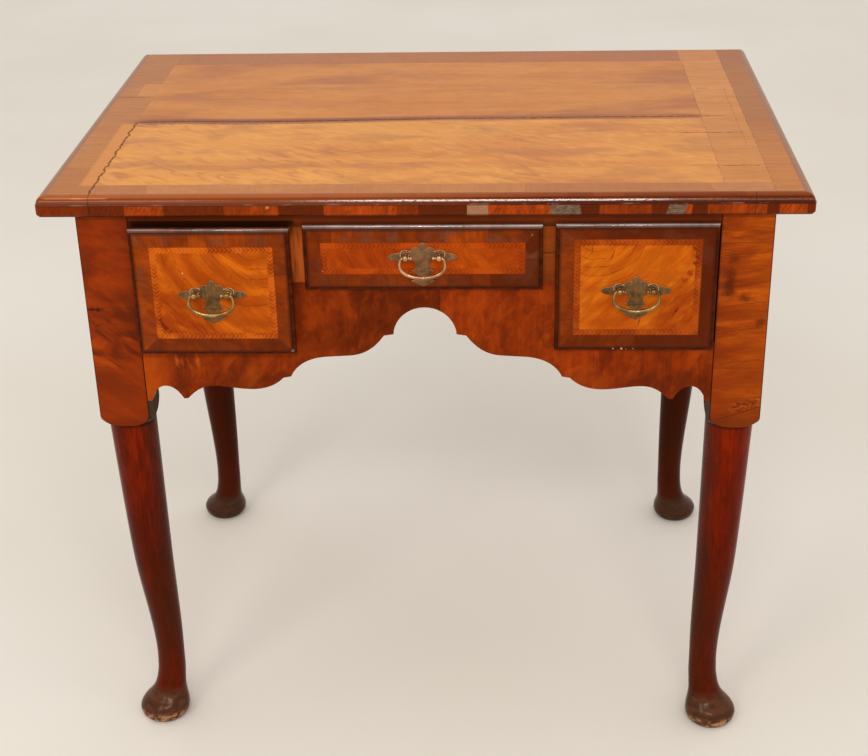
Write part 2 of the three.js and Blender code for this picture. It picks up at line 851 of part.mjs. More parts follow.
function bail(x, z) {
  const half = postSpacing / 2 + bailSpread;
  const bead = postSpacing / 2 - ballRadius - bailBeadRadius;
  const bendStart = postSpacing / 2 + ballRadius / 2;
  const at = (side, across, down) => new THREE.Vector3(side * across * half, 0, -down * bailDrop);
  const path = new THREE.CurvePath();
  const arm = (side) => [
    new THREE.Vector3(side * bead, 0, 0),
    new THREE.Vector3(side * bendStart, 0, 0),
    at(side, bailArmShares[0], bailArmShares[1]),
    at(side, bailArmShares[2], bailArmShares[3]),
    at(side, bailArmShares[4], bailArmShares[5]),
    at(side, bailBowShares[0], bailBowShares[1]),
    at(side, bailBowShares[2], bailBowShares[3]),
    at(side, bailBowShares[4], bailBowShares[5]),
  ];
  const left = arm(-1);
  const right = arm(1).reverse();
  path.add(new THREE.LineCurve3(left[0], left[1]));
  path.add(new THREE.CubicBezierCurve3(left[1], left[2], left[3], left[4]));
  path.add(new THREE.CubicBezierCurve3(left[4], left[5], left[6], left[7]));
  path.add(new THREE.CubicBezierCurve3(right[0], right[1], right[2], right[3]));
  path.add(new THREE.CubicBezierCurve3(right[3], right[4], right[5], right[6]));
  path.add(new THREE.LineCurve3(right[6], right[7]));
  const section = new THREE.Shape();
  section.absarc(0, 0, bailRadius, 0, 2 * Math.PI);
  const wire = new THREE.ExtrudeGeometry(section, {
    steps: bailSteps,
    extrudePath: path,
    curveSegments: bailSides / 2,
  });
  const beads = [-1, 1].map((side) => (
    new THREE.SphereGeometry(bailBeadRadius, bailSides, bailSides).translate(side * bead, 0, 0)
  ));
  return join(wire, ...beads)
    .translate(x, lipFront - plateThickness - ballStandoff, z);
}

function drawerGroup(name, place, ajar) {
  const group = new THREE.Group();
  const drawer = {
    ...place,
    bottom: place.opening + runningGap,
    top: openingTop - boxTopGap,
    sideTop: openingTop - boxTopGap - drawerSideDrop,
    backTop: openingTop - boxTopGap - drawerBackDrop,
  };
  const posts = [['left', -1], ['right', 1]].map(([hand, side]) => [
    hand,
    drawer.handleX + (side * postSpacing) / 2,
  ]);
  group.add(
    piece(`${name}_drawer_front`, drawerFront(drawer), 'figuredWalnut'),
    piece(`${name}_drawer_left_side`, drawerSide(drawer, -1), 'oak'),
    piece(`${name}_drawer_right_side`, drawerSide(drawer, 1), 'oak'),
    piece(`${name}_drawer_back`, drawerBack(drawer), 'oak'),
    piece(`${name}_drawer_bottom`, drawerBottom(drawer), 'oak'),
    piece(`${name}_backplate`, backplate(drawer.handleX, drawer.handleZ), 'agedBrass'),
    piece(`${name}_bail`, bail(drawer.handleX, drawer.handleZ), 'brightBrass'),
  );
  for (const [hand, x] of posts) {
    group.add(
      piece(`${name}_${hand}_post`, handlePost(x, drawer.handleZ), 'brightBrass'),
      piece(`${name}_${hand}_nut`, handleNut(x, drawer.handleZ), 'agedBrass'),
    );
  }
  group.position.y = -ajar;
  return group;
}

const lipInner = dividerOuter - lipOverlap;
const lipOuter = postInner - lipPostGap;
const sideHandleX = (lipInner + lipOuter) / 2;
const sideHandleZ = (deepBottom + openingTop) / 2;
const centreHandleZ = (shallowBottom + openingTop) / 2 + centreHandleLift;

// The whole piece
const carcass = new THREE.Group();
const boardFront = -topDepth / 2 + mouldingWidth;
const boardSeam = boardFront + frontBoardWidth;
carcass.add(
  topBoard('top_front_board', boardFront, boardSeam, 'figuredWalnut'),
  topBoard('top_back_board', boardSeam, topDepth / 2, 'figuredWalnut'),
  topCleat('top_left_cleat', -1),
  topCleat('top_right_cleat', 1),
  frontMoulding(),
  sideMoulding('top_left_moulding', -1),
  sideMoulding('top_right_moulding', 1),
  leg('front_left_leg', -1, -1),
  leg('front_right_leg', 1, -1),
  leg('back_left_leg', -1, 1),
  leg('back_right_leg', 1, 1),
  frontApron(),
  frontRail(),
  divider('left_divider', -1),
  divider('right_divider', 1),
  sidePanel('left_side_panel', -1),
  sidePanel('right_side_panel', 1),
  backPanel(),
  outerRunner('left_outer_runner', -1),
  outerRunner('right_outer_runner', 1),
  innerRunner('left_inner_runner', -1, boxInner + runnerBearing, dividerOuter, deepBottom),
  innerRunner('right_inner_runner', 1, boxInner + runnerBearing, dividerOuter, deepBottom),
  innerRunner(
    'centre_left_runner',
    -1,
    dividerInner - boxSideGap - runnerBearing,
    dividerInner,
    shallowBottom,
  ),
  innerRunner(
    'centre_right_runner',
    1,
    dividerInner - boxSideGap - runnerBearing,
    dividerInner,
    shallowBottom,
  ),
  glueBlock('left_glue_block', -1),
  glueBlock('right_glue_block', 1),
);

const lowboy = new THREE.Group();
lowboy.add(
  carcass,
  drawerGroup('left', {
    lip: [-lipOuter, -lipInner],
    box: [-boxOuter, -boxInner],
    opening: deepBottom,
    tails: deepTails,
    handleX: -sideHandleX,
    handleZ: sideHandleZ,
  }, leftDrawerAjar),
  drawerGroup('centre', {
    lip: [-dividerInner - lipOverlap, dividerInner + lipOverlap],
    box: [-dividerInner + boxSideGap, dividerInner - boxSideGap],
    opening: shallowBottom,
    tails: shallowTails,
    handleX: 0,
    handleZ: centreHandleZ,
  }, 0),
  drawerGroup('right', {
    lip: [lipInner, lipOuter],
    box: [boxInner, boxOuter],
    opening: deepBottom,
    tails: deepTails,
    handleX: sideHandleX,
    handleZ: sideHandleZ,
  }, 0),
);

// The origin is on the floor, halfway between the top's back edge and the foremost handle
const foremost = lipFront - leftDrawerAjar - handleReach;
lowboy.position.y = -(foremost + topDepth / 2) / 2;

export default lowboy;
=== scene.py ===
import math

import bmesh
import bpy
from mathutils import Matrix, Vector


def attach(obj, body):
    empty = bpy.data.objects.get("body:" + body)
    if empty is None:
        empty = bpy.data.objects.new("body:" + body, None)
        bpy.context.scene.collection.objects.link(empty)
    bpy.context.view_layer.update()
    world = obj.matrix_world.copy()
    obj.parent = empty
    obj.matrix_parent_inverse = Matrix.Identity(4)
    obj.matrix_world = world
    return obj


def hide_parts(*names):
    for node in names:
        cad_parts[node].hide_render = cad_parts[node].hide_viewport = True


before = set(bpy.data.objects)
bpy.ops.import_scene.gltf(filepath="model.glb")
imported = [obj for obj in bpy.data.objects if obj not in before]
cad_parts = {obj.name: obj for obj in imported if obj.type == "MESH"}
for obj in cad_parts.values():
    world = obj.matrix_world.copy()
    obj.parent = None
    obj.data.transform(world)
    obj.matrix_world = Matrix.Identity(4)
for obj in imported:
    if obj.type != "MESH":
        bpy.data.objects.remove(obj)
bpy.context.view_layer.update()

# Sizes in metres, in the part's frame: X to the right, Y to the back, Z up
CASE_HALF = 0.374
CASE_FRONT = -0.2604
CASE_BACK = 0.2846
POST = 0.057
POST_INNER = CASE_HALF - POST
TOP_HEIGHT = 0.711
TOP_UNDERSIDE = 0.6885
TOP_HALF = 0.413
TOP_FRONT = -0.2734
TOP_BACK = 0.2926
SHOULDER = 0.429
SHOULDER_RISE = 0.028
LEG_TOP_RADIUS = 0.0274
SWELL_HEIGHT = 0.24
SWELL_RADIUS = 0.0232
ANKLE_HEIGHT = 0.092
ANKLE_RADIUS = 0.0168
PAD_RADIUS = 0.031
LIP_FRONT = -0.2684
LIP_BACK = -0.2607
LIP_ROUND = 0.004
PLATE_FRONT = -0.27
LEFT_AJAR = 0.009
HINGE_STANDOFF = 0.010
POST_SPREAD = 0.018
OVOLO = 0.0085
FILLET = 0.001
NOSE = 0.0008
NOSE_FOOT = TOP_HEIGHT - OVOLO - NOSE


def paint(red, green, blue):
    """A colour as it looks on a screen, 0 to 255, in the linear values that Blender mixes."""
    def linear(level):
        share = level / 255
        return share / 12.92 if share <= 0.04045 else ((share + 0.055) / 1.055) ** 2.4
    return (linear(red), linear(green), linear(blue), 1.0)


# Shader fields: values over the surface that add and multiply like plain numbers
class Field:
    def __init__(self, graph, socket):
        self.graph = graph
        self.socket = socket

    def __add__(self, other):
        return self.graph.math("ADD", self, other)

    def __sub__(self, other):
        return self.graph.math("SUBTRACT", self, other)

    def __rsub__(self, other):
        return self.graph.math("SUBTRACT", other, self)

    def __mul__(self, other):
        return self.graph.math("MULTIPLY", self, other)

    def __truediv__(self, other):
        return self.graph.math("DIVIDE", self, other)

    __radd__ = __add__
    __rmul__ = __mul__


class Graph:
    """The nodes of one material or of one node group."""

    def __init__(self, tree):
        self.tree = tree

    def node(self, kind, **settings):
        made = self.tree.nodes.new(kind)
        for name, value in settings.items():
            setattr(made, name, value)
        return made

    def feed(self, socket, value):
        if isinstance(value, Field):
            value = value.socket
        if isinstance(value, bpy.types.NodeSocket):
            self.tree.links.new(value, socket)
        else:
            socket.default_value = value

    def field(self, kind, values, output=0, **settings):
        """One output of a node whose inputs are fed in order, or by place or name."""
        made = self.node(kind, **settings)
        for socket, value in values.items() if isinstance(values, dict) else enumerate(values):
            self.feed(made.inputs[socket], value)
        return Field(self, made.outputs[output])

    def math(self, operation, *values):
        return self.field("ShaderNodeMath", values, operation=operation)

    def place(self):
        """Where a point is on the piece, in the part's frame."""
        return self.field("ShaderNodeTexCoord", {}, "Object")

    def parts(self, vector):
        made = self.node("ShaderNodeSeparateXYZ")
        self.feed(made.inputs[0], vector)
        return [Field(self, socket) for socket in made.outputs]

    def vector(self, x=0.0, y=0.0, z=0.0):
        return self.field("ShaderNodeCombineXYZ", (x, y, z))

    def laid(self, vector, scale=(1, 1, 1), turn=0, move=(0, 0, 0)):
        """The pattern's own place: turned by degrees, round Z where one is given, then scaled."""
        turns = [math.radians(angle) for angle in (turn if isinstance(turn, tuple) else (0, 0, turn))]
        spread = [1 / share for share in scale]
        values = {"Vector": vector, "Location": move, "Rotation": turns, "Scale": spread}
        return self.field("ShaderNodeMapping", values, vector_type="TEXTURE")

    def noise(self, vector, scale=1.0, detail=2.0, rough=0.5, bend=0.0, turn=0, move=(0, 0, 0)):
        """Cloudy noise; three scales stretch it along its own axes, turned and moved."""
        if isinstance(scale, tuple):
            vector, scale = self.laid(vector, scale, turn, move), 1.0
        values = {"Vector": vector, "Scale": scale, "Detail": detail, "Roughness": rough}
        return self.field("ShaderNodeTexNoise", {**values, "Distortion": bend})

    def cells(self, vector, scale=1.0, output="Distance"):
        return self.field("ShaderNodeTexVoronoi", {"Vector": vector, "Scale": scale}, output)

    def smooth(self, value, low, high, start=0.0, end=1.0):
        values = (value, low, high, start, end)
        return self.field("ShaderNodeMapRange", values, interpolation_type="SMOOTHSTEP")

    def size(self, value):
        return self.math("ABSOLUTE", value)

    def within(self, value, low, high, soft):
        """1 between two places and 0 outside them, with soft edges."""
        return self.past(value, low, soft) * self.past(value, high, -soft)

    def past(self, value, at, soft):
        """0 before a place and 1 past it; a negative softness turns that round."""
        return self.smooth(value, at - soft, at + soft)

    def line(self, value, at, half, soft):
        """1 on a line at a place, and 0 beside it."""
        return self.smooth(self.size(value - at), half + soft, half)

    def gap(self, first, second, at_first, at_second):
        """How far a point is from a place, measured in two of its directions."""
        across, up = first - at_first, second - at_second
        return self.math("SQRT", across * across + up * up)

    def mix(self, share, first, second):
        """A share of the second tone over the first; a tone is a field or a screen colour."""
        tones = [paint(*tone) if isinstance(tone, tuple) else tone for tone in (first, second)]
        return self.field("ShaderNodeMix", dict(zip((0, 6, 7), (share, *tones))), 2, data_type="RGBA")

    def layers(self, colour, coats):
        """A colour under coats of (share, tone), laid on one after the other."""
        for share, tone in coats:
            colour = self.mix(share, colour, tone)
        return colour

    def most(self, first, *others):
        """The greatest of several values."""
        for other in others:
            first = self.math("MAXIMUM", first, other)
        return first

    def steps(self, value, stops, blend="LINEAR"):
        """A grey level for each stretch of a value."""
        made = self.node("ShaderNodeValToRGB")
        ramp = made.color_ramp
        ramp.interpolation = blend
        for index, (at, level) in enumerate(stops):
            stop = ramp.elements[index] if index < 2 else ramp.elements.new(at)
            stop.position = at
            stop.color = (level, level, level, 1)
        self.feed(made.inputs[0], value)
        return Field(self, made.outputs[0])

    def bump(self, height, depth, share=1.0, under=None):
        values = {"Height": height, "Distance": depth, "Strength": share}
        if under is not None:
            values["Normal"] = under
        return self.field("ShaderNodeBump", values)

    def use(self, group, **values):
        """Places a shared group, and gives its outputs by name."""
        made = self.node("ShaderNodeGroup", node_tree=group)
        for name, value in values.items():
            self.feed(made.inputs[name.replace("_", " ")], value)
        return {socket.name: Field(self, socket) for socket in made.outputs}


def shared_group(name, inputs, outputs, build):
    """A shader node group, built once and placed in each material that needs it."""
    tree = bpy.data.node_groups.new(name, "ShaderNodeTree")
    for socket, kind, default in inputs:
        made = tree.interface.new_socket(socket, in_out="INPUT", socket_type=kind)
        if default is not None:
            made.default_value = default
    for socket, kind in outputs:
        tree.interface.new_socket(socket, in_out="OUTPUT", socket_type=kind)
    graph = Graph(tree)
    entry = graph.node("NodeGroupInput")
    ends = graph.node("NodeGroupOutput")
    results = build(graph, {socket.name: Field(graph, socket) for socket in entry.outputs if socket.name})
    for socket, value in results.items():
        graph.feed(ends.inputs[socket], value)
    return tree


NUMBER = "NodeSocketFloat"
VECTOR = "NodeSocketVector"


def build_grain(graph, given):
    along = given["Vector"]
    fibre = graph.noise(along, (55, 1500, 1500), 3.0, 0.6)
    pores = graph.noise(along, (260, 2600, 2600), 1.0)
    figure = graph.noise(along, (7, 30, 30), 4.0, 0.55, 0.7)
    cloud = graph.noise(along, (5, 9, 9), 3.0, 0.5, 0.4, move=(3, 1, 2))
    streak = graph.noise(along, (11, 190, 190), 3.0, 0.55, 0.4, move=(1, 5, 2))
    mottle = graph.noise(along, (38, 78, 78), 4.0, 0.6, 0.7, move=(2, 4, 6))
    return {
        "Fibre": fibre,
        "Pores": graph.smooth(pores, 0.6, 0.72),
        "Figure": graph.smooth(figure, 0.3, 0.7),
        "Cloud": graph.smooth(cloud, 0.32, 0.68),
        "Streak": graph.smooth(streak, 0.36, 0.64),
        "Mottle": graph.smooth(mottle, 0.36, 0.64),
    }


GRAIN = shared_group(
    "walnut grain",
    [("Vector", VECTOR, None)],
    [(output, NUMBER) for output in ("Fibre", "Pores", "Figure", "Cloud", "Streak", "Mottle")],
    build_grain,
)


def build_rings(graph, given):
    """Growth lines round a far centre, bent by the wood's figure, clearest near the centre."""
    x, y, _ = graph.parts(given["Vector"])
    warp = graph.noise(graph.vector(x, y), 26.0, 3.0, 0.5, 0.3)
    radius = graph.math("SQRT", x * x + y * y) + (warp - 0.5) * given["Warp"]
    wave = graph.math("PINGPONG", radius / given["Spacing"], 0.5) * 2.0
    broad = graph.math("PINGPONG", radius / given["Spacing"] * 0.43 + 0.2, 0.5) * 2.0
    strength = graph.noise(graph.vector(x + 7.0, y), 34.0, 2.0)
    near = graph.smooth(radius, given["Reach"], given["Reach"] * 1.5, 1.0, 0.25)
    lines = graph.smooth(wave, 0.15, 0.0) * graph.smooth(strength, 0.38, 0.6) * near
    return {"Lines": lines, "Tone": graph.smooth(broad, 0.1, 0.9)}


RINGS = shared_group(
    "growth rings",
    [
        ("Vector", VECTOR, None),
        ("Spacing", NUMBER, 0.01),
        ("Warp", NUMBER, 0.03),
        ("Reach", NUMBER, 0.05),
    ],
    [("Lines", NUMBER), ("Tone", NUMBER)],
    build_rings,
)


def build_crack(graph, given):
    along = given["Along"]
    drift = graph.noise(graph.vector(along * 70.0, 0.0, given["Seed"]), 1.0, 3.0) - 0.5
    across = given["Across"] + drift * given["Wander"]
    patchy = graph.noise(graph.vector(along * 160.0, 4.0, given["Seed"]), 1.0, 2.0)
    half = given["Width"] * graph.smooth(patchy, 0.3, 0.7, 0.25, 1.0) * 0.5
    taper = 0.006
    ends = graph.smooth(along, given["Start"], given["Start"] + taper)
    ends = ends * graph.smooth(along, given["End"], given["End"] - taper)
    return {"Mask": graph.smooth(graph.size(across), half * 1.5, half * 0.5) * ends}


CRACK = shared_group(
    "crack",
    [
        ("Along", NUMBER, 0.0),
        ("Across", NUMBER, 0.0),
        ("Start", NUMBER, 0.0),
        ("End", NUMBER, 0.1),
        ("Width", NUMBER, 0.001),
        ("Wander", NUMBER, 0.003),
        ("Seed", NUMBER, 0.0),
    ],
    [("Mask", NUMBER)],
    build_crack,
)


def build_feather(graph, given):
    """A herringbone band inside the edge of a rectangle, and what lies inside and outside it."""
    x, z = given["Across"], given["Up"]
    from_side = given["Half Width"] - graph.size(x)
    from_end = given["Half Height"] - graph.size(z)
    depth = graph.math("MINIMUM", from_side, from_end)
    upright = graph.math("LESS_THAN", from_side, from_end)
    along = x - (z + x) * upright
    fold = graph.size(depth - given["Band"] * 0.5)
    wave = graph.math("PINGPONG", (along + fold) / given["Pitch"], 0.5) * 2.0
    soft = 0.00025
    inner = graph.smooth(depth, given["Band"] - soft, given["Band"] + soft)
    outer = graph.smooth(depth, -soft, soft)
    return {
        "Panel": inner,
        "Band": outer - inner,
        "Stripe": graph.smooth(wave, 0.5, 0.2),
        "Edge": graph.smooth(graph.size(depth), 0.0007, 0.0002),
        "Upright": upright,
    }


FEATHER = shared_group(
    "feather band",
    [
        ("Across", NUMBER, 0.0),
        ("Up", NUMBER, 0.0),
        ("Half Width", NUMBER, 0.05),
        ("Half Height", NUMBER, 0.05),
        ("Band", NUMBER, 0.007),
        ("Pitch", NUMBER, 0.0046),
    ],
    [("Panel", NUMBER), ("Band", NUMBER), ("Stripe", NUMBER), ("Edge", NUMBER), ("Upright", NUMBER)],
    build_feather,
)


def build_polish(graph, given):
    """Old wax: its sheen in patches, small dents, and dust in the hollows."""
    place = given["Vector"]
    patches = graph.noise(place, 22.0, 3.0, 0.6)
    smears = graph.noise(graph.laid(place, move=(5, 3, 1)), 160.0, 2.0)
    dents = graph.noise(place, 420.0, 1.0)
    rough = given["Roughness"] + (patches - 0.5) * 0.16 + (smears - 0.5) * 0.07
    specks = graph.smooth(graph.cells(place, 210.0), 0.1, 0.04)
    rare = graph.smooth(graph.noise(place, 60.0, 1.0), 0.62, 0.7)
    return {
        "Roughness": rough,
        "Height": patches * 0.9 + dents * 0.1,
        "Specks": specks * rare,
    }


POLISH = shared_group(
    "old polish",
    [("Vector", VECTOR, None), ("Roughness", NUMBER, 0.32)],
    [("Roughness", NUMBER), ("Height", NUMBER), ("Specks", NUMBER)],
    build_polish,
)


class Finish:
    """A material under construction: its graph, its shader and the place on the piece."""

    def __init__(self, name, **constants):
        self.material = bpy.data.materials.new(name)
        self.material.use_nodes = True
        self.graph = Graph(self.material.node_tree)
        self.shader = self.material.node_tree.nodes["Principled BSDF"]
        self.shader.inputs["Specular Tint"].default_value = (1, 0.55, 0.25, 1)
        for socket, value in constants.items():
            self.shader.inputs[socket.replace("_", " ")].default_value = value
        self.place = self.graph.place()
        self.x, self.y, self.z = self.graph.parts(self.place)

    def relief(self, height, wave=14.0):
        """Fine relief over the slow waves of an old board."""
        slow = self.graph.bump(self.graph.noise(self.place, wave, 1.0), 0.0009, 0.5)
        return self.graph.bump(height, 0.0005, 0.5, slow)

    def done(self, colour, rough, normal, coat=None):
        ends = {"Coat Weight": coat, "Base Color": colour, "Roughness": rough, "Normal": normal}
        for socket, value in ends.items():
            if value is not None:
                self.graph.feed(self.shader.inputs[socket], value)
        return self.material

    def crack(self, *run):
        """Where a crack shows: along, across, start, end, width, wander and seed."""
        names = ("Along", "Across", "Start", "End", "Width", "Wander", "Seed")
        return self.graph.use(CRACK, **dict(zip(names, run)))["Mask"]


# Veneer of the top: its seam, and where its crossbands and its cleats begin
SEAM = -0.0125
RIGHT_BAND, FRONT_BAND, BACK_BAND = 0.321, -0.2345, 0.2395
LEFT_JOINT, RIGHT_JOINT = -0.3555, 0.3722


def top_finish(name, zones, marks, front, back):
    """Veneer of one board or cleat: honey field, crossbands at its zones, seam and cracks."""
    f = Finish(name, Specular_IOR_Level=0.1)
    g, x, y = f.graph, f.x, f.y
    flat = g.vector(x, y)
    grain = g.use(GRAIN, Vector=flat)
    polish = g.use(POLISH, Vector=f.place, Roughness=0.34)
    across_grain = g.use(GRAIN, Vector=g.vector(y, x, 3.0)) if zones & {"front", "back"} else grain
    tone = g.parts(g.cells(g.vector(x * 5.2, y * 3.1), output="Color"))[0]

    bands = g.noise(g.vector(x * 1.6, y * 28.0, 1.0), 1.0, 3.0, 0.5, 0.3)
    colour = g.layers((229, 150, 62), [
        (g.smooth(bands, 0.3, 0.7), (211, 128, 52)),
        (grain["Cloud"] * 0.5, (238, 164, 70)),
    ])
    if front:
        feathers = g.noise(flat, (19, 66, 1), 4.0, 0.55, 1.8, turn=-33)
        zone = g.smooth(g.noise(flat, (6, 8, 1), 2.0, move=(0.31, 0.12, 0)), 0.42, 0.62)
        stain = g.smooth(g.noise(flat, (11, 26, 1), 4.0, 0.55, 0.5, move=(4, 1, 0)), 0.47, 0.64)
        colour = g.layers(colour, [
            (g.smooth(feathers, 0.5, 0.7) * (zone * 0.7 + 0.15) * front, (172, 96, 40)),
            (g.smooth(feathers, 0.48, 0.36) * 0.45 * front, (246, 174, 74)),
            (stain * 0.66 * front, (176, 101, 58)),
        ])
    if back:
        lines = g.smooth(g.noise(g.vector(x * 5.0, y * 110.0, 2.0), 1.0, 3.0, 0.5, 0.6), 0.55, 0.75)
        shadow = g.smooth(g.noise(flat, (4, 11, 1), 4.0, 0.55, 0.6, move=(2, 6, 0)), 0.46, 0.66)
        colour = g.layers(colour, [
            (back, (186, 98, 26)),
            (grain["Mottle"] * 0.25, (170, 86, 26)),
            (grain["Figure"] * 0.3, (226, 144, 48)),
            (shadow * 0.6, (164, 84, 40)),
            (lines * 0.28, (150, 78, 32)),
        ])
    colour = g.mix(g.smooth(grain["Fibre"], 0.45, 0.75) * 0.22, colour, (150, 80, 34))

    soft = 0.0005
    broken = g.smooth(g.noise(flat, 90.0, 2.0), 0.35, 0.6)
    light_band = g.layers((221, 143, 63), [
        (grain["Figure"] * 0.6, (196, 119, 49)),
        (grain["Streak"] * 0.3, (178, 104, 46)),
        (g.smooth(grain["Fibre"], 0.5, 0.66) * 0.35, (148, 86, 40)),
    ])
    edge = (92, 48, 22)
    if "right" in zones:
        right_band = g.past(x, RIGHT_BAND, soft)
        line = g.line(x, RIGHT_BAND, 0.0001, 0.0007) * g.within(y, -0.232, BACK_BAND, 0.001)
        colour = g.layers(colour, [(right_band, light_band), (line * broken * 0.6, edge)])
    if zones & {"front", "back"}:
        brown = g.layers((204, 129, 68), [
            (g.smooth(y, -0.2, 0.2), (186, 110, 52)),
            (tone * 0.5, (168, 94, 42)),
            (across_grain["Streak"] * 0.12, (148, 80, 34)),
            (grain["Mottle"] * 0.2, (156, 88, 44)),
            (g.smooth(across_grain["Fibre"], 0.4, 0.8) * 0.15, (122, 62, 30)),
        ])
    if "front" in zones:
        colour = g.layers(colour, [
            (g.past(y, FRONT_BAND, -soft), brown),
            (g.line(y, FRONT_BAND, 0.0001, 0.0007) * broken * 0.25, edge),
        ])
    if "back" in zones:
        across_end = g.smooth(x, RIGHT_BAND - 0.0015, RIGHT_BAND - 0.0005, 1.0, 0.25)
        colour = g.layers(colour, [
            (g.past(y, BACK_BAND, soft) * across_end, brown),
            (g.line(y, BACK_BAND, 0.0001, 0.0008) * broken * 0.3, edge),
        ])
    if zones & {"left end", "right end"}:
        end_brown = g.layers((203, 129, 60), [
            (g.smooth(x, 0.2, 0.3), (208, 127, 50)),
            (tone * 0.6, (176, 102, 40)),
            (grain["Streak"] * 0.3, (152, 84, 36)),
            (g.smooth(grain["Fibre"], 0.4, 0.8) * 0.3, (114, 60, 30)),
            (g.smooth(y, -0.14, 0.0) * g.smooth(x, -0.1, 0.1, 0.12, 0.45), (146, 86, 44)),
        ])
    if "left end" in zones:
        strip = g.within(x, -0.3715, -0.3545, 0.0025) * g.within(y, -0.236, -0.018, 0.004) * 0.85
        patch = g.within(x, -0.378, -0.356, 0.0008) * g.within(y, 0.094, 0.149, 0.001)
        colour = g.layers(colour, [
            (g.past(x, LEFT_JOINT, -soft), end_brown),
            (g.most(strip, patch * 0.6), g.mix(bands, (226, 148, 62), (208, 126, 50))),
        ])
    if "right end" in zones:
        colour = g.layers(colour, [
            (g.past(x, RIGHT_JOINT, soft), end_brown),
            (g.line(x, RIGHT_JOINT, 0.0001, 0.0008) * broken * 0.5, edge),
        ])
    if "back" in zones:
        colour = g.mix(g.smooth(y, TOP_BACK - 0.0005, TOP_BACK - 0.0001) * 0.85, colour, (104, 60, 32))

    seam_way = g.noise(g.vector(x * 4.0), 1.0, 1.0)
    seam_y = y - (SEAM + (seam_way - 0.5) * 0.02 + g.smooth(x, -0.2, 0.1) * 0.009)
    seam_band = g.line(seam_y, 0.002, 0.003, 0.011) * g.within(x, -0.356, 0.32, 0.02)
    cracks = f.crack(x, seam_y, -0.357, 0.326, 0.0042, 0.006, 1.0) * 0.9
    if front:
        second = f.crack(x, seam_y + 0.0085, -0.345, 0.30, 0.0026, 0.006, 2.0)
        cracks = g.most(cracks, second * g.smooth(x, -0.02, -0.16, 0.15, 0.8))
    for run, at, *rest in marks:
        along, across = (x, y) if run == "x" else (y, x)
        cracks = g.most(cracks, f.crack(along, across - at, *rest))
    colour = g.layers(colour, [
        (seam_band * g.smooth(x, 0.25, -0.15, 0.5, 1.0), (140, 72, 38)),
        (cracks * 0.8, (84, 44, 24)),
        (polish["Specks"] * 0.35, (240, 200, 150)),
    ])
    height = polish["Height"] * 0.5 - cracks * 0.9 + grain["Fibre"] * 0.05
    wave = g.bump(g.noise(flat, 5.0, 1.0), 0.0016, 0.6)
    return f.done(colour, polish["Roughness"] + cracks * 0.3, g.bump(height, 0.0006, 0.6, wave))


# Each crack of the top: the way it runs, its place, start, end, width, wander and seed
LEFT_CRACK = ("y", LEFT_JOINT, TOP_FRONT, -0.012, 0.0034, 0.011, 3.0)
RIGHT_CRACKS = [
    ("x", -0.065, 0.286, 0.367, 0.002, 0.002, 6.0),
    ("x", -0.180, 0.322, 0.369, 0.0022, 0.004, 7.0),
]
# The boards and cleats of the top: crossbanded zones, cracks, and how feathered and how dark they are
TOP_PARTS = {
    "top_front_board": ({"front", "right"}, [*RIGHT_CRACKS, LEFT_CRACK], 0.7, 0.0),
    "top_back_board": ({"back", "right"}, [
        ("x", -0.0022, 0.322, 0.353, 0.0022, 0.003, 5.0),
        ("x", 0.112, 0.325, 0.345, 0.0022, 0.004, 11.0),
    ], 0.0, 0.38),
    "top_left_cleat": ({"front", "back", "left end"}, [
        LEFT_CRACK,
        ("x", 0.092, -0.406, LEFT_JOINT, 0.0022, 0.002, 4.0),
        ("x", -0.097, -0.406, -0.374, 0.0007, 0.002, 10.0),
    ], 0.2, 0.1),
    "top_right_cleat": ({"front", "back", "right", "right end"}, [
        ("y", 0.350, TOP_FRONT, -0.224, 0.0013, 0.004, 8.0),
        ("x", -0.095, 0.372, 0.404, 0.0008, 0.002, 9.0),
        *RIGHT_CRACKS,
        ("y", 0.361, -0.12, 0.12, 0.0004, 0.006, 12.0),
    ], 0.0, 0.0),
}


# Moulded edge of the top: blocks of veneer along its front, each with its start and its lightness
EDGE_BLOCKS = [
    (0.0, 0.34), (0.067, 0.2), (0.117, 0.9), (0.165, 0.22), (0.243, 0.7), (0.3135, 0.12), (0.372, 0.95),
    (0.467, 0.42), (0.4925, 0.12), (0.581, 0.9), (0.697, 0.1), (0.723, 0.62), (0.758, 0.48), (0.79, 0.16),
    (0.834, 0.95), (0.842, 0.12), (0.86, 0.6), (0.892, 0.8), (0.934, 0.14), (0.953, 0.75), (0.985, 0.2),
]


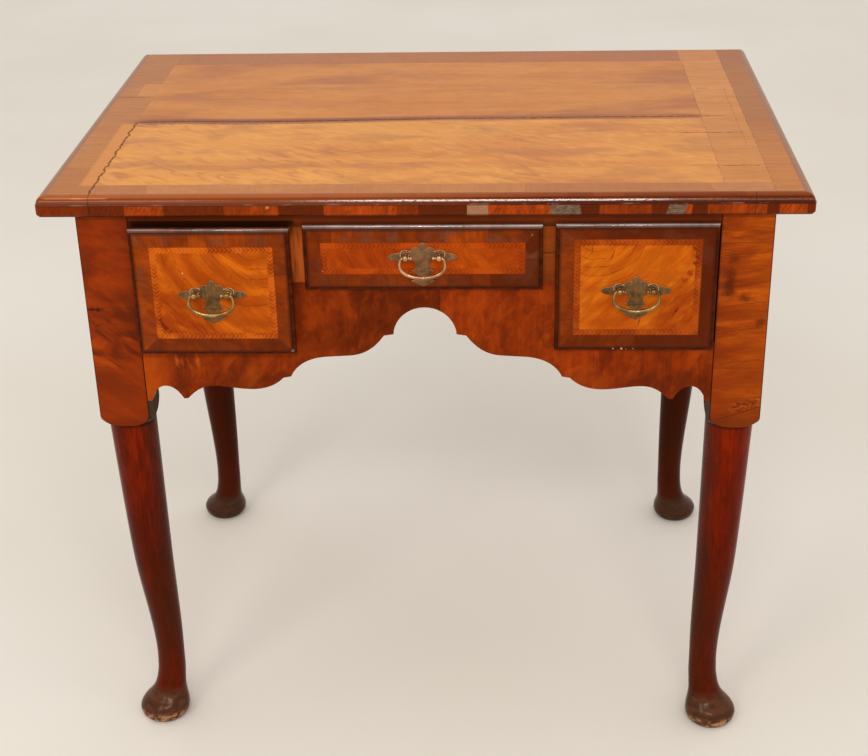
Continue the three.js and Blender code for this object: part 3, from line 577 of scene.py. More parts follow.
def edge_finish(name, front):
    """Blocks of cross-grained veneer under a dark, worn round, with painted shade on the underside; the
    front also has repairs, a painted highlight along the round and painted shade below it.
    """
    f = Finish(name, Specular_IOR_Level=0.12, Coat_Roughness=0.1 if front else 0.2)
    g, z = f.graph, f.z
    along, deep = (f.x, f.y) if front else (f.y, f.x)
    grain = g.use(GRAIN, Vector=g.vector(z, along, deep))
    polish = g.use(POLISH, Vector=f.place, Roughness=0.3)
    tone, other, _ = g.parts(g.cells(g.vector(along * 21.0, 0.0, 4.0), output="Color"))
    if front:
        blocks = g.steps((along + TOP_HALF) / (2 * TOP_HALF), EDGE_BLOCKS, "CONSTANT")
        flecks = g.smooth(g.cells(g.vector(along * 90.0, z * 60.0)), 0.1, 0.6)
        veneer = g.layers((54, 15, 5), [(blocks, (206, 80, 15)), (flecks * 0.25, (110, 36, 12))])
    else:
        dark = g.smooth(other, 0.7, 0.74)
        veneer = g.layers((118, 42, 13), [(tone, (176, 78, 26)), (dark * 0.7, (84, 28, 10))])
    slanted = g.noise(g.vector(along, z), (90, 360, 1), 4.0, 0.6, 0.6, turn=62)
    veneer = g.layers(veneer, [
        (grain["Figure"] * 0.25, (88, 29, 8)),
        (grain["Streak"] * 0.22, (80, 26, 8)),
        (g.smooth(slanted, 0.52, 0.62) * 0.4, (56, 18, 7)),
        (grain["Mottle"] * 0.3, (78, 25, 8)),
        (g.smooth(grain["Fibre"], 0.42, 0.72) * 0.2, (66, 22, 8)),
    ])
    mould = g.mix(grain["Cloud"], (116, 44, 16), (84, 29, 10))
    if not front:
        mould = g.mix(grain["Mottle"] * 0.3 + 0.6, mould, (100, 72, 50))
    mould = g.layers(mould, [
        (grain["Streak"] * 0.4, (62, 22, 9)),
        (g.smooth(grain["Fibre"], 0.5, 0.8) * 0.3, (54, 20, 9)),
    ])
    round_edge = g.smooth(z, NOSE_FOOT - 0.0005, NOSE_FOOT + 0.0001)
    crest = g.smooth(z, 0.7082, 0.7098)
    lighter = g.smooth(along, 0.15, -0.1) if front else 0.0
    colour = g.layers(veneer, [
        (round_edge, mould),
        (round_edge * 0.35 * lighter, (170, 84, 40)),
        (crest * 0.85, g.mix(tone, (148, 72, 30), (124, 54, 21))),
        (crest * 0.5 * lighter, (190, 106, 54)),
    ])
    if not front:
        colour = g.mix(g.smooth(z, 0.7066, 0.709) * 0.8, colour, (158, 104, 66))
    else:
        grey = g.most(
            g.within(along, 0.0483, 0.0705, 0.0003),
            g.within(along + (z - 0.696) * 0.15, 0.1358, 0.1675, 0.0003),
            g.within(along - (z - 0.696) * 0.3, 0.2585, 0.2775, 0.0006),
        )
        grey = grey * (1.0 - round_edge)
        dry = g.layers((132, 104, 84), [
            (g.smooth(g.noise(f.place, (260, 1, 2200), 3.0), 0.35, 0.65), (74, 54, 42)),
            (g.smooth(along, 0.08, 0.1, 0.7, 0.0), (168, 116, 84)),
        ])
        colour = g.mix(grey, colour, dry)
    worn = g.smooth(g.noise(g.vector(along * 26.0), 1.0, 4.0, 0.6), 0.5, 0.62)
    if front:
        corner = g.within(along, -0.402, -0.335, 0.003) * g.line(z, 0.7088, 0.0002, 0.0005)
        speckle = g.smooth(g.noise(g.vector(along * 240.0, z * 700.0, 2.0), 1.0, 3.0), 0.36, 0.48)
        dusty = g.smooth(along, 0.225, 0.275)
        # Painted highlight: a light line along the round, dark grey with dust on its right end and broken
        # by dark flecks.
        shine = g.line(z, 0.7058, 0.0004, 0.0005) * g.smooth(along, -0.16, -0.02)
        painted_shine = shine * (1.0 - dusty)
        colour = g.layers(colour, [
            (corner * (worn * 0.4 + 0.5), (228, 150, 92)),
            # Painted shade on the nose, below the painted highlight.
            (g.within(z, 0.7014, 0.7044, 0.0004) * 0.6, g.mix(lighter, (66, 29, 21), (100, 58, 42))),
            (shine * dusty * 0.7, g.mix(speckle, (58, 40, 32), (120, 86, 66))),
            (painted_shine * speckle * 0.85, (232, 219, 212)),
            (painted_shine * (1.0 - speckle) * 0.6, (44, 26, 20)),
        ])
    nose = g.line(z, NOSE_FOOT + 0.0005, 0.0003, 0.0007) * worn
    grime = g.line(z, NOSE_FOOT - 0.0004, 0.0001, 0.0006)
    # Painted shade on the moulding's underside.
    low = g.smooth(z, 0.6915, 0.6893)
    colour = g.layers(colour, [
        (nose * 0.35, (168, 132, 108)),
        (grime * 0.7, (34, 18, 12)),
        (low * 0.7, (50, 18, 9)),
    ])
    if front:
        cracks = g.most(
            f.crack(z, along + 0.3545, 0.68, 0.72, 0.0012, 0.004, 3.0),
            f.crack(z, along - 0.350, 0.68, 0.72, 0.0012, 0.004, 8.0),
        )
        chip = g.smooth(g.gap(along, z, -0.1631, 0.6992), 0.0022, 0.001)
        colour = g.mix(chip, colour, (186, 116, 74))
    else:
        cracks = f.crack(z, along + 0.1865, 0.68, 0.72, 0.0008, 0.003, 13.0)
    colour = g.mix(cracks * 0.85, colour, (40, 24, 16))
    height = grain["Fibre"] * 0.25 + polish["Height"] * 0.5
    height = height - cracks - grime * 0.5 - worn * round_edge * 0.25
    gloss = 0.35
    if front:
        gloss = g.smooth(along, -0.2, 0.0, 0.3, 0.8) * g.smooth(along, 0.23, 0.28, 1.0, 0.3)
    varnish = g.within(z, 0.7044, 0.7072, 0.0005) * gloss
    return f.done(colour, polish["Roughness"], g.bump(height, 0.0006, 0.5), varnish)


def drawer_finish(name, look, front):
    """Panel, herringbone band, mitred crossband and dark lip of one drawer front, with a painted
    highlight along the lip's top.
    """
    f = Finish(name, Specular_IOR_Level=0.1, Coat_Roughness=0.08, Coat_IOR=1.9)
    g, x, z = f.graph, f.x, f.z
    (centre_x, centre_z), (half_x, half_z) = look["band"]
    band = g.use(FEATHER, Across=x - centre_x, Up=z - centre_z, Half_Width=half_x, Half_Height=half_z)
    face = g.vector(x, z)
    polish = g.use(POLISH, Vector=f.place, Roughness=0.3)
    along = z + (x - z) * band["Upright"]
    across = x + (z - x) * band["Upright"]
    cross = g.use(GRAIN, Vector=g.vector(along, across, 1.0))
    cloudy = g.noise(g.laid(face, move=(4, 2, 0)), 24.0, 4.0, 0.6)

    rings = dict(look["rings"])
    ring_x, ring_z = rings.pop("at")
    line_share, tone_share = look["ring_shares"]
    growth = g.use(RINGS, Vector=g.vector(x - ring_x, z - ring_z), **rings)
    grain = g.use(GRAIN, Vector=g.laid(face, turn=look["turn"], move=(centre_x, 0, 0)))
    shade_x, shade_z, shade_size = look["shade"]
    shade = g.smooth(g.gap(x, z, shade_x, shade_z), shade_size, shade_size * 0.4)
    ripple_turn, ripple_share = look["ripple"]
    ripple = g.noise(face, (30, 260, 1), 2.0, 0.5, 0.5, turn=ripple_turn)
    ripple = g.smooth(ripple, 0.56, 0.66) * (shade * 0.4 + 0.12) * ripple_share
    lines = g.most(growth["Lines"] * line_share, ripple)
    flecks = g.cells(g.laid(face, (60, 130, 1), turn=ripple_turn))
    flecks = g.smooth(flecks, 0.14, 0.06)
    panel = g.layers(look["light"], [
        (grain["Cloud"], look["dark"]),
        (grain["Figure"] * 0.65, look["bright"]),
        (grain["Mottle"] * 0.45, look["deep"]),
        (grain["Streak"] * 0.22, (150, 56, 8)),
        (growth["Tone"] * tone_share, (140, 48, 7)),
        (shade * (grain["Mottle"] * 0.3 + 0.35), (140, 44, 7)),
        (lines, (104, 34, 5)),
        (flecks * g.smooth(cloudy, 0.5, 0.6) * 0.6, (104, 32, 6)),
    ])

    fade = g.smooth(cloudy, 0.34, 0.6)
    stripe = g.mix(g.smooth(cloudy, 0.4, 0.6), *look["stripe"])
    stripe = g.mix(band["Stripe"] * (fade * 0.55 + look["feather"]), stripe, (104, 34, 7))

    border_width = 0.018
    share = (x - (centre_x - half_x - border_width)) / (2 * (half_x + border_width))
    upper = g.past(z, centre_z, 0.001)
    below, above = (g.steps(share, look[row], "CONSTANT") for row in ("below", "above"))
    level = below * (1.0 - upper) + above * upper
    left_level, right_level = look["sides"]
    at_side = left_level + g.past(x, centre_x, 0.001) * (right_level - left_level)
    level = level + (at_side - level) * band["Upright"]
    dull = g.smooth(cloudy, 0.46, 0.62) * (upper * 0.65 + 0.35) * look["grey"]
    border = g.layers((66, 18, 4), [
        (level, (168, 68, 13)),
        (grain["Mottle"] * 0.45, (82, 26, 6)),
        (cross["Streak"] * 0.25, (80, 26, 6)),
        (g.smooth(cloudy, 0.5, 0.38) * (level * 0.5), (176, 72, 14)),
        (dull, (112, 62, 42)),
        (g.smooth(cross["Fibre"], 0.42, 0.75) * 0.2, (70, 22, 6)),
    ])

    lip = g.smooth(f.y, front + 0.0003, front + 0.0007)
    dark = g.mix(cross["Mottle"], (84, 27, 8), (52, 17, 6))
    (lip_left, lip_right), (lip_low, lip_top) = look["lip"]
    inside = g.within(x, lip_left + 0.0062, lip_right - 0.0062, 0.0014)
    inside = inside * g.within(z, lip_low + 0.0062, lip_top - 0.0066, 0.0014)
    broken = g.smooth(g.noise(g.vector(x * 13.0, 0.0, centre_x), 1.0, 4.0, 0.6), 0.36, 0.6)
    # Painted highlight: a light line along the top of the lip, in the look's sheen colour.
    bright = g.line(z, lip_top - 0.0008, 0.0003, 0.0006) * (broken * 0.5 + look["shine"] * 0.5)
    marks = lines * 0.2
    for mark_x, mark_z, angle, length, width, seed in look["cracks"]:
        run, off, _ = g.parts(g.laid(g.vector(x - mark_x, z - mark_z), turn=angle))
        marks = g.most(marks, f.crack(run, off, -length / 2, length / 2, width, 0.002, seed))
    colour = g.layers(border, [
        (band["Band"], stripe),
        (band["Panel"], panel),
        (band["Edge"] * 0.4, (100, 34, 7)),
        ((1.0 - inside) * 0.6, (66, 21, 8)),
        (lip, dark),
        (bright * lip, look["sheen"]),
        (g.line(f.y, front + 0.0006, 0.0001, 0.0004) * 0.45, (40, 14, 6)),
        (marks * 0.85, (66, 19, 6)),
    ])
    ragged = g.noise(face, 170.0, 3.0, 0.6) - 0.5
    for spot_x, spot_z, size, tone in look["spots"]:
        spot = g.smooth(g.gap(x, z, spot_x, spot_z) + ragged * size * 2.4, size * 0.8, size * 0.3)
        colour = g.mix(spot * 0.8, colour, tone)
    colour = g.mix(polish["Specks"] * 0.2, colour, (214, 140, 80))
    height = polish["Height"] * 0.5 + cross["Fibre"] * 0.06 - marks - band["Edge"] * 0.15
    wave = g.bump(g.noise(face, 16.0, 1.0), 0.0008, 0.5)
    normal = g.bump(height, 0.0005, 0.5, wave)
    varnish = g.smooth(z, lip_top - 0.0042, lip_top - 0.0028) * lip * (broken * 0.4 + look["shine"])
    return f.done(colour, polish["Roughness"], normal, varnish)


# Case: the apron's lightness from its left end to its right, as (start, level)
APRON_TONES = [
    (0.0, 0.95), (0.04, 0.82), (0.10, 0.6), (0.20, 0.7), (0.268, 0.4), (0.36, 0.1), (0.47, 0.06),
    (0.527, 0.9), (0.63, 0.62), (0.72, 1.0), (0.785, 0.8), (0.872, 0.5), (0.926, 0.8), (0.955, 1.0),
    (0.975, 0.5),
]


def apron_finish():
    """Flamed veneer in stretches of different tone, golden near the left corner, with painted light on
    the lower part of its left end.
    """
    f = Finish("apron walnut veneer", Specular_IOR_Level=0.09)
    g, x, z = f.graph, f.x, f.z
    polish = g.use(POLISH, Vector=f.place, Roughness=0.3)
    grain = g.use(GRAIN, Vector=g.vector(z, x, f.y))
    slant = g.use(GRAIN, Vector=g.laid(g.vector(x, z, 2.0), turn=58))
    flame = g.noise(g.vector(x, z, 5.0), (22, 42, 1), 3.0, 0.6, 0.9, turn=52)
    share = (x + POST_INNER) / (2 * POST_INNER)
    tone = g.steps(share, APRON_TONES, "CONSTANT") * 0.8 + g.steps(share, APRON_TONES) * 0.2
    left_part = g.smooth(x, -0.22, -0.12, 1.0, 0.3) + g.smooth(x, 0.01, 0.03) * 0.35
    patches = g.noise(g.vector(x, z, 9.0), (26, 20, 1), 4.0, 0.6)
    light = g.within(x, -0.281, -0.254, 0.002) * g.within(z, 0.504, 0.531, 0.009)
    streaks = g.noise(f.place, (190, 1, 50), 3.0, turn=(0, -14, 0))
    gold = g.smooth(g.gap(x, z, -0.206, 0.5), 0.03, 0.006)
    # Painted light: the lower part of the left end is lighter, as lit.
    lit_end = g.smooth(x, -0.278, -0.312) * g.smooth(z, 0.53, 0.512)
    under = g.smooth(f.y, CASE_FRONT + 0.0005, CASE_FRONT + 0.0015)
    cracks = g.most(
        f.crack(z, x - 0.0165, 0.56, 0.604, 0.0006, 0.0012, 31.0),
        f.crack(z, x - 0.186, 0.49, 0.532, 0.0006, 0.0015, 32.0),
        f.crack(z, x + 0.251, 0.49, 0.53, 0.0006, 0.0012, 33.0) * 0.7,
    )
    colour = g.layers((80, 23, 4), [
        (tone, (156, 52, 6)),
        (g.smooth(flame, 0.52, 0.66) * left_part * 0.6, (190, 82, 14)),
        (g.smooth(flame, 0.48, 0.34) * left_part * 0.5, (80, 26, 6)),
        (slant["Mottle"] * 0.45, (84, 26, 6)),
        (grain["Mottle"] * 0.2, (172, 64, 9)),
        (g.smooth(patches, 0.5, 0.62) * 0.55, (82, 25, 5)),
        (g.smooth(patches, 0.48, 0.36) * 0.3, (180, 70, 10)),
        (grain["Streak"] * 0.2, (88, 27, 6)),
        (g.smooth(grain["Fibre"], 0.42, 0.74) * 0.2, (74, 22, 5)),
        (light * g.smooth(streaks, 0.48, 0.6) * 0.5, (196, 94, 30)),
        (light * g.smooth(streaks, 0.48, 0.4) * 0.5, (84, 32, 12)),
        (gold * slant["Figure"] * 0.7, (206, 94, 16)),
        (g.smooth(z, 0.505, 0.462) * 0.25, (76, 24, 6)),
        (lit_end * (slant["Mottle"] * 0.3 + 0.4), (184, 76, 12)),
        (under, g.mix(grain["Cloud"], (74, 34, 16), (52, 23, 11))),
        (cracks * 0.75, (50, 16, 6)),
    ])
    height = polish["Height"] * 0.5 + grain["Fibre"] * 0.1 - cracks
    return f.done(colour, polish["Roughness"], f.relief(height))


def rail_finish():
    """Rail and dividers: painted shade on the rail over the drawers, a painted shadow in the gap over the
    open one, and painted light on the divider beside it.
    """
    f = Finish("rail and divider walnut", Specular_IOR_Level=0.13)
    g = f.graph
    grain = g.use(GRAIN, Vector=g.vector(f.x, f.z, f.y))
    above = g.past(f.z, 0.672, 0.0005)
    # Painted shadow: near black along the rail's lower edge in the gap over the open left drawer.
    gap = g.smooth(f.z, 0.6806, 0.6792) * g.within(f.x, -0.316, -0.138, 0.002)
    lit = g.within(f.x, -0.1435, -0.129, 0.001) * g.within(f.z, 0.56, 0.666, 0.012)
    upward = g.noise(f.place, (210, 1, 26), 3.0)
    joint = f.crack(f.x, f.z - 0.642, 0.120, 0.150, 0.0012, 0.001, 41.0)
    colour = g.layers((158, 72, 20), [
        (grain["Cloud"], (118, 46, 12)),
        (grain["Figure"] * 0.6, (84, 30, 8)),
        # Painted shade: the rail darker under the top and darkest along its lower edge above the lips,
        # then the painted shadow in the gap.
        (above * 0.45, (96, 24, 8)),
        (g.smooth(f.z, 0.682, 0.6725) * above * 0.75, (44, 17, 7)),
        (g.smooth(grain["Fibre"], 0.42, 0.74) * 0.4, (70, 26, 10)),
        (gap * 0.9, (22, 9, 5)),
        (lit * 0.85, g.mix(g.smooth(upward, 0.4, 0.68), (190, 90, 30), (126, 56, 22))),
        (joint * 0.9, (40, 14, 8)),
    ])
    polish = g.use(POLISH, Vector=f.place, Roughness=0.38)
    height = polish["Height"] * 0.5 + grain["Fibre"] * 0.12 - joint
    return f.done(colour, polish["Roughness"], g.bump(height, 0.0005, 0.5))


def side_finish():
    """The sides and the posts' outer faces, scuffed low down, and bare wood inside."""
    f = Finish("side walnut veneer", Specular_IOR_Level=0.16)
    g = f.graph
    grain = g.use(GRAIN, Vector=g.vector(f.z, f.y, f.x))
    slant = g.use(GRAIN, Vector=g.laid(g.vector(f.y, f.z, f.x), turn=62))
    tone = g.parts(g.cells(g.vector(f.y * 6.5, f.x * 2.0), output="Color"))[0]
    far = g.vector(f.y - 0.05, (f.z - 0.9) * 0.3)
    growth = g.use(RINGS, Vector=far, Spacing=0.014, Warp=0.02, Reach=0.2)
    scuff = g.noise(f.place, (30, 14, 160), 4.0, 0.65, turn=(20, 0, 0))
    scuff = g.smooth(scuff, 0.62, 0.72) * g.smooth(f.z, 0.62, 0.5)
    inner = g.smooth(g.size(f.x), CASE_HALF - 0.0006, CASE_HALF - 0.0012)
    colour = g.layers((122, 42, 12), [
        (tone, (160, 66, 18)),
        (slant["Cloud"] * 0.5, (100, 34, 11)),
        (slant["Figure"] * 0.4, (178, 80, 22)),
        (slant["Mottle"] * 0.45, (88, 28, 8)),
        (grain["Figure"] * 0.35, (92, 30, 10)),
        (grain["Streak"] * 0.3, (84, 28, 9)),
        (g.smooth(grain["Fibre"], 0.42, 0.74) * 0.38, (78, 26, 9)),
        (growth["Lines"] * 0.35, (66, 20, 7)),
        (scuff * 0.4, (190, 116, 64)),
        (inner, g.mix(grain["Cloud"], (108, 66, 36), (82, 48, 26))),
    ])
    polish = g.use(POLISH, Vector=f.place, Roughness=0.36)
    height = polish["Height"] * 0.5 + grain["Fibre"] * 0.1
    return f.done(colour, polish["Roughness"] + scuff * 0.15, f.relief(height, 12.0))


# Lines across the right post: height, lean, start and seed
RIGHT_POST_LINES = [
    (0.6525, 0.0, 0.318, 53.0), (0.640, 0.1, 0.318, 54.0), (0.550, 0.18, 0.316, 55.0),
    (0.5115, 0.1, 0.33, 59.0), (0.5865, -0.15, 0.34, 60.0),
]


def post_finish(name, side):
    """Veneer on a front post: cloudy on the left one, cross-grained and lined on the right one."""
    f = Finish(name, Specular_IOR_Level=0.13)
    g, x, z = f.graph, f.x, f.z
    polish = g.use(POLISH, Vector=f.place, Roughness=0.28)
    cross = g.use(GRAIN, Vector=g.vector(x, z, 1.0 + side))
    if side < 0:
        slant = g.noise(g.vector(x, z, 3.0), (16, 40, 1), 3.0, 0.55, 0.6, turn=-32)
        fan = g.noise(g.vector(x, z, 7.0), (14, 120, 1), 2.0, 0.5, 0.5, turn=-38)
        lower = g.within(z, 0.50, 0.572, 0.012)
        colour = g.layers((150, 47, 8), [
            (cross["Cloud"], (112, 33, 7)),
            (cross["Mottle"] * 0.5, (92, 28, 8)),
            (cross["Figure"] * 0.3, (180, 68, 11)),
            (g.smooth(slant, 0.5, 0.38) * (lower * 0.3 + 0.4), (80, 26, 8)),
            (g.smooth(slant, 0.52, 0.68) * (lower * 0.35 + 0.3), (174, 66, 11)),
            (g.smooth(fan, 0.54, 0.66) * (lower * 0.5 + 0.12), (70, 22, 8)),
            (g.smooth(z, 0.5045, 0.5025) * 0.4, (138, 46, 6)),
        ])
        low = g.smooth(z, 0.445, 0.4305)
        slanted = z - 0.560 - (x + 0.35) * 0.3
        marks = g.most(
            f.crack(x, z - 0.5035, -0.38, -0.31, 0.0006, 0.001, 51.0) * 0.5,
            f.crack(x, (z - 0.5755) * 0.7, -0.385, -0.353, 0.0042, 0.003, 71.0),
            f.crack(x, z - 0.5785, -0.38, -0.31, 0.0006, 0.001, 50.0) * 0.5,
            f.crack(x, slanted, -0.372, -0.35, 0.0014, 0.003, 58.0) * 0.7,
        )
    else:
        lines = g.noise(g.vector(x, z, side), (9, 170, 1), 3.0, 0.65, 1.2, turn=7)
        bandy = g.noise(g.vector(x, z, 5.0), (13, 62, 1), 4.0, 0.6, 0.5, turn=5)
        upper = g.smooth(z, 0.5, 0.58, 0.25, 0.55)
        low = g.smooth(z, 0.462, 0.4305)
        marks = g.most(
            f.crack(x, z - 0.607, 0.32, 0.371, 0.0007, 0.004, 56.0) * 0.6,
            f.crack(x, z - 0.4475 - (x - 0.35) * 0.35, 0.322, 0.3735, 0.0012, 0.003, 57.0),
        )
        for at, lean, begin, seed in RIGHT_POST_LINES:
            mark = f.crack(x, z - at - (x - 0.345) * lean, begin, 0.372, 0.0009, 0.004, seed)
            marks = g.most(marks, mark * 0.8)
        ragged = g.noise(g.vector(x, z, 8.0), 75.0, 4.0, 0.65) * 0.022 - 0.011
        smudge = g.smooth(g.gap(x, z * 0.5, 0.330, 0.605 * 0.5) + ragged, 0.012, 0.002)
        for at_x, at_z in ((0.366, 0.560), (0.333, 0.634), (0.346, 0.588)):
            spot = g.smooth(g.gap(x, z, at_x, at_z) + ragged, 0.0, 0.009, 0.8, 0.0)
            smudge = g.most(smudge, spot)
        rubble = g.noise(g.vector(x * 150.0, z * 330.0, 3.0), 1.0, 3.0, 0.6)
        zone = g.within(x, 0.342, 0.373, 0.003) * g.within(z - (x - 0.36) * 0.28, 0.4525, 0.4645, 0.0018)
        colour = g.layers((178, 74, 10), [
            (cross["Cloud"], (146, 54, 8)),
            (g.smooth(bandy, 0.5, 0.62) * upper, (206, 96, 14)),
            (g.smooth(bandy, 0.5, 0.38) * 0.6, (112, 38, 7)),
            (g.smooth(x, 0.322, 0.372) * 0.25, (204, 98, 16)),
            (cross["Mottle"] * 0.35, (128, 44, 8)),
            (cross["Streak"] * 0.3, (132, 46, 8)),
            (g.smooth(lines, 0.55, 0.7) * 0.35, (104, 34, 6)),
            (g.smooth(z, 0.54, 0.47) * 0.18, (112, 38, 7)),
            (smudge * 0.8, (72, 24, 8)),
            (zone * g.smooth(rubble, 0.46, 0.58) * 0.8, (92, 34, 14)),
            (zone * g.smooth(rubble, 0.46, 0.34) * 0.7, (180, 90, 48)),
        ])
    # Darker along the inner edge: a dark joint, with painted shade beside the drawers and the apron.
    inner_edge = g.smooth(x * side, POST_INNER + 0.003, POST_INNER)
    colour = g.layers(colour, [
        (g.smooth(cross["Fibre"], 0.42, 0.74) * 0.3, (86, 28, 7)),
        (marks * 0.85, (44, 16, 7)),
        (low * 0.6, (88, 32, 9)),
        (inner_edge * 0.35, (66, 20, 7)),
    ])
    height = polish["Height"] * 0.5 + cross["Fibre"] * 0.1 - marks
    return f.done(colour, polish["Roughness"], f.relief(height))


def leg_finish():
    """Red-brown legs with worn pads; the back legs and pads are painted darker as shade, and a painted
    shadow line runs under each post.
    """
    f = Finish("turned walnut", Specular_IOR_Level=0.07, Coat_Roughness=0.16)
    g, x, y, z = f.graph, f.x, f.y, f.z
    grain = g.use(GRAIN, Vector=g.vector(z * 0.8, x, y))
    streak = g.noise(f.place, (240, 240, 22), 4.0, 0.65, 0.3)
    upper = g.smooth(z, 0.22, 0.44)
    right = g.smooth(x, -0.1, 0.1)
    inner_side = g.smooth(g.size(x), 0.338, 0.318) * g.smooth(z, 0.06, 0.2)
    # Painted shade: the back legs and their pads are darker.
    rear = g.smooth(y, 0.0, 0.1)
    pad = g.smooth(z, 0.046, 0.03)
    scuffs = g.noise(f.place, (70, 70, 190), 4.0, 0.6)
    pad_tone = g.mix(g.smooth(scuffs, 0.35, 0.65), (64, 40, 26), (92, 56, 34))
    front_rim = g.smooth(z, 0.017, 0.010) * g.smooth(y, -0.242, -0.249)
    rim = front_rim * g.smooth(g.noise(f.place, 130.0, 3.0, 0.6), 0.42, 0.58)
    sole = g.smooth(z, 0.004, 0.0)
    # Painted shadow: a dark band on the leg just under the post's turned shoulder.
    collar = g.smooth(z, 0.4215, 0.4285)
    colour = g.layers((120, 23, 3), [
        (grain["Cloud"], (88, 18, 3)),
        (g.smooth(streak, 0.5, 0.6) * (upper * 0.4 + 0.1), (152, 42, 7)),
        (g.smooth(streak, 0.48, 0.38) * 0.5, (58, 18, 5)),
        (upper * right * 0.35, (150, 32, 3)),
        (right * g.within(z, 0.12, 0.26, 0.05) * 0.3, (44, 10, 3)),
        (grain["Mottle"] * 0.35, (64, 20, 6)),
        (grain["Figure"] * 0.35, (56, 17, 6)),
        (g.smooth(grain["Fibre"], 0.42, 0.74) * 0.35, (44, 12, 5)),
        (inner_side * 0.5, (50, 30, 20)),
        # Painted shade on the back legs and their pads.
        (rear * 0.55, (36, 15, 8)),
        (g.smooth(z, 0.3, 0.1) * 0.4, (66, 30, 12)),
        (pad * 0.85, g.mix(rear * 0.4, pad_tone, (50, 38, 28))),
        (rim * 0.85, (188, 136, 98)),
        (sole * 0.7, (46, 30, 20)),
        # The painted shadow under the post.
        (collar * 0.75, (26, 11, 7)),
    ])
    polish = g.use(POLISH, Vector=f.place, Roughness=0.32)
    rough = polish["Roughness"] + rim * 0.25 - pad * 0.08
    height = polish["Height"] * 0.6 + grain["Fibre"] * 0.04 - g.smooth(scuffs, 0.6, 0.75) * pad * 0.25
    return f.done(colour, rough - 0.06, g.bump(height, 0.0006, 0.4), pad * 0.12)


def plain_wood(name, light, dark, along, rough, scale=1.0):
    """Dry, unpolished wood: drawer linings, runners and the back."""
    f = Finish(name, Specular_IOR_Level=0.25)
    g = f.graph
    first, second, third = {"x": (f.x, f.z, f.y), "y": (f.y, f.x, f.z), "z": (f.z, f.x, f.y)}[along]
    grain = g.use(GRAIN, Vector=g.vector(first * scale, second, third))
    rays = g.noise(g.vector(first * 90.0, second * 320.0, third * 320.0), 1.0, 2.0)
    growth = g.noise(g.vector(first * 2.0, second * 70.0, third * 70.0), 1.0, 3.0, 0.5, 0.5)
    dirt = g.smooth(g.noise(f.place, 9.0, 4.0, 0.6), 0.45, 0.72)
    colour = g.layers(light, [
        (g.smooth(growth, 0.35, 0.65), dark),
        (grain["Cloud"] * 0.35, dark),
        (g.smooth(grain["Fibre"], 0.45, 0.75) * 0.4, dark),
        (grain["Pores"] * 0.5, (48, 30, 16)),
        (g.smooth(rays, 0.64, 0.72) * 0.25, light),
        (dirt * 0.3, (80, 44, 24)),
    ])
    height = grain["Fibre"] * 0.5 - grain["Pores"] * 0.5 + growth * 0.3
    return f.done(colour, rough + (dirt - 0.5) * 0.1, g.bump(height, 0.0004, 0.6))


def plate_finish(name, front, middle=(0.0, 0.0), light=(128, 92, 54), dark=(88, 66, 40)):
    """Tarnished sheet brass, scrolled over the posts, with painted highlights on the scrolls and along
    its bevelled edge.
    """
    f = Finish(name, Metallic=0.9, Specular_Tint=(1, 1, 1, 1))
    g = f.graph
    tarnish = g.noise(f.place, 95.0, 4.0, 0.6)
    spots = g.noise(f.place, 420.0, 2.0)
    brushed = g.noise(f.place, (700, 1, 40), 2.0)
    side, up = g.size(f.x - middle[0]), f.z - middle[1]
    away = g.gap(side, up, POST_SPREAD, -0.0004)
    above = g.smooth(up + (side - POST_SPREAD) * 0.5, -0.001, 0.001)
    # Painted highlight on the raised scroll round each post, with a dark groove inside it.
    scroll = g.line(away, 0.0058, 0.0003, 0.0006) * above
    groove = g.line(away, 0.0047, 0.0002, 0.0006) * above
    # Painted highlight along the bevelled edge, which is also less rough.
    rim = g.smooth(f.y, front + 0.00006, front + 0.0003) * g.smooth(f.y, front + 0.0012, front + 0.0009)
    colour = g.layers(light, [
        (g.smooth(tarnish, 0.3, 0.7), dark),
        (g.smooth(brushed, 0.45, 0.7) * 0.3, (150, 116, 80)),
        (g.smooth(spots, 0.56, 0.7) * 0.5, (64, 52, 32)),
        (groove * 0.7, (52, 40, 26)),
        (scroll * 0.8, (198, 160, 116)),
        (rim * 0.95, (232, 200, 158)),
    ])
    scratches = g.noise(f.place, (90, 1, 900), 2.0, turn=(0, 28, 0))
    height = spots * 0.4 + scratches * 0.2 + tarnish * 0.4 + scroll - groove
    rough = g.smooth(tarnish, 0.3, 0.75, 0.34, 0.56)
    return f.done(colour, rough - rim * 0.12, g.bump(height, 0.0003, 0.6))


def cast_finish(name, worn, dull):
    """Cast brass, rubbed bright and dull in its hollows."""
    f = Finish(name, Metallic=0.95, Specular_Tint=(1, 1, 1, 1))
    g = f.graph
    tarnish = g.noise(f.place, 75.0, 3.0, 0.5)
    fine = g.noise(f.place, 620.0, 2.0)
    hollow = g.smooth(fine, 0.58, 0.74)
    near = g.smooth(f.y, -0.2785, -0.2705)
    colour = g.layers(worn, [
        (g.smooth(tarnish, 0.3, 0.7), dull),
        (hollow * 0.4, (84, 62, 38)),
        (near * 0.5, (96, 72, 42)),
    ])
    rough = g.smooth(tarnish, 0.3, 0.75, 0.14, 0.3)
    return f.done(colour, rough + hollow * 0.1, g.bump(fine * 0.1 + tarnish * 0.6, 0.0001, 0.15))


# Shapes
def piece_of(name, shape, materials, body, nodes, crease=35):
    """Makes a piece from a shape: it rides on a body and stands for its CAD nodes."""
    mesh = bpy.data.meshes.new(name)
    shape.to_mesh(mesh)
    shape.free()
    for material in materials:
        mesh.materials.append(material)
    mesh.shade_smooth()
    mesh.set_sharp_from_angle(angle=math.radians(crease))
    piece = bpy.data.objects.new(name, mesh)
    bpy.context.collection.objects.link(piece)
    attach(piece, body)
    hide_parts(*nodes)


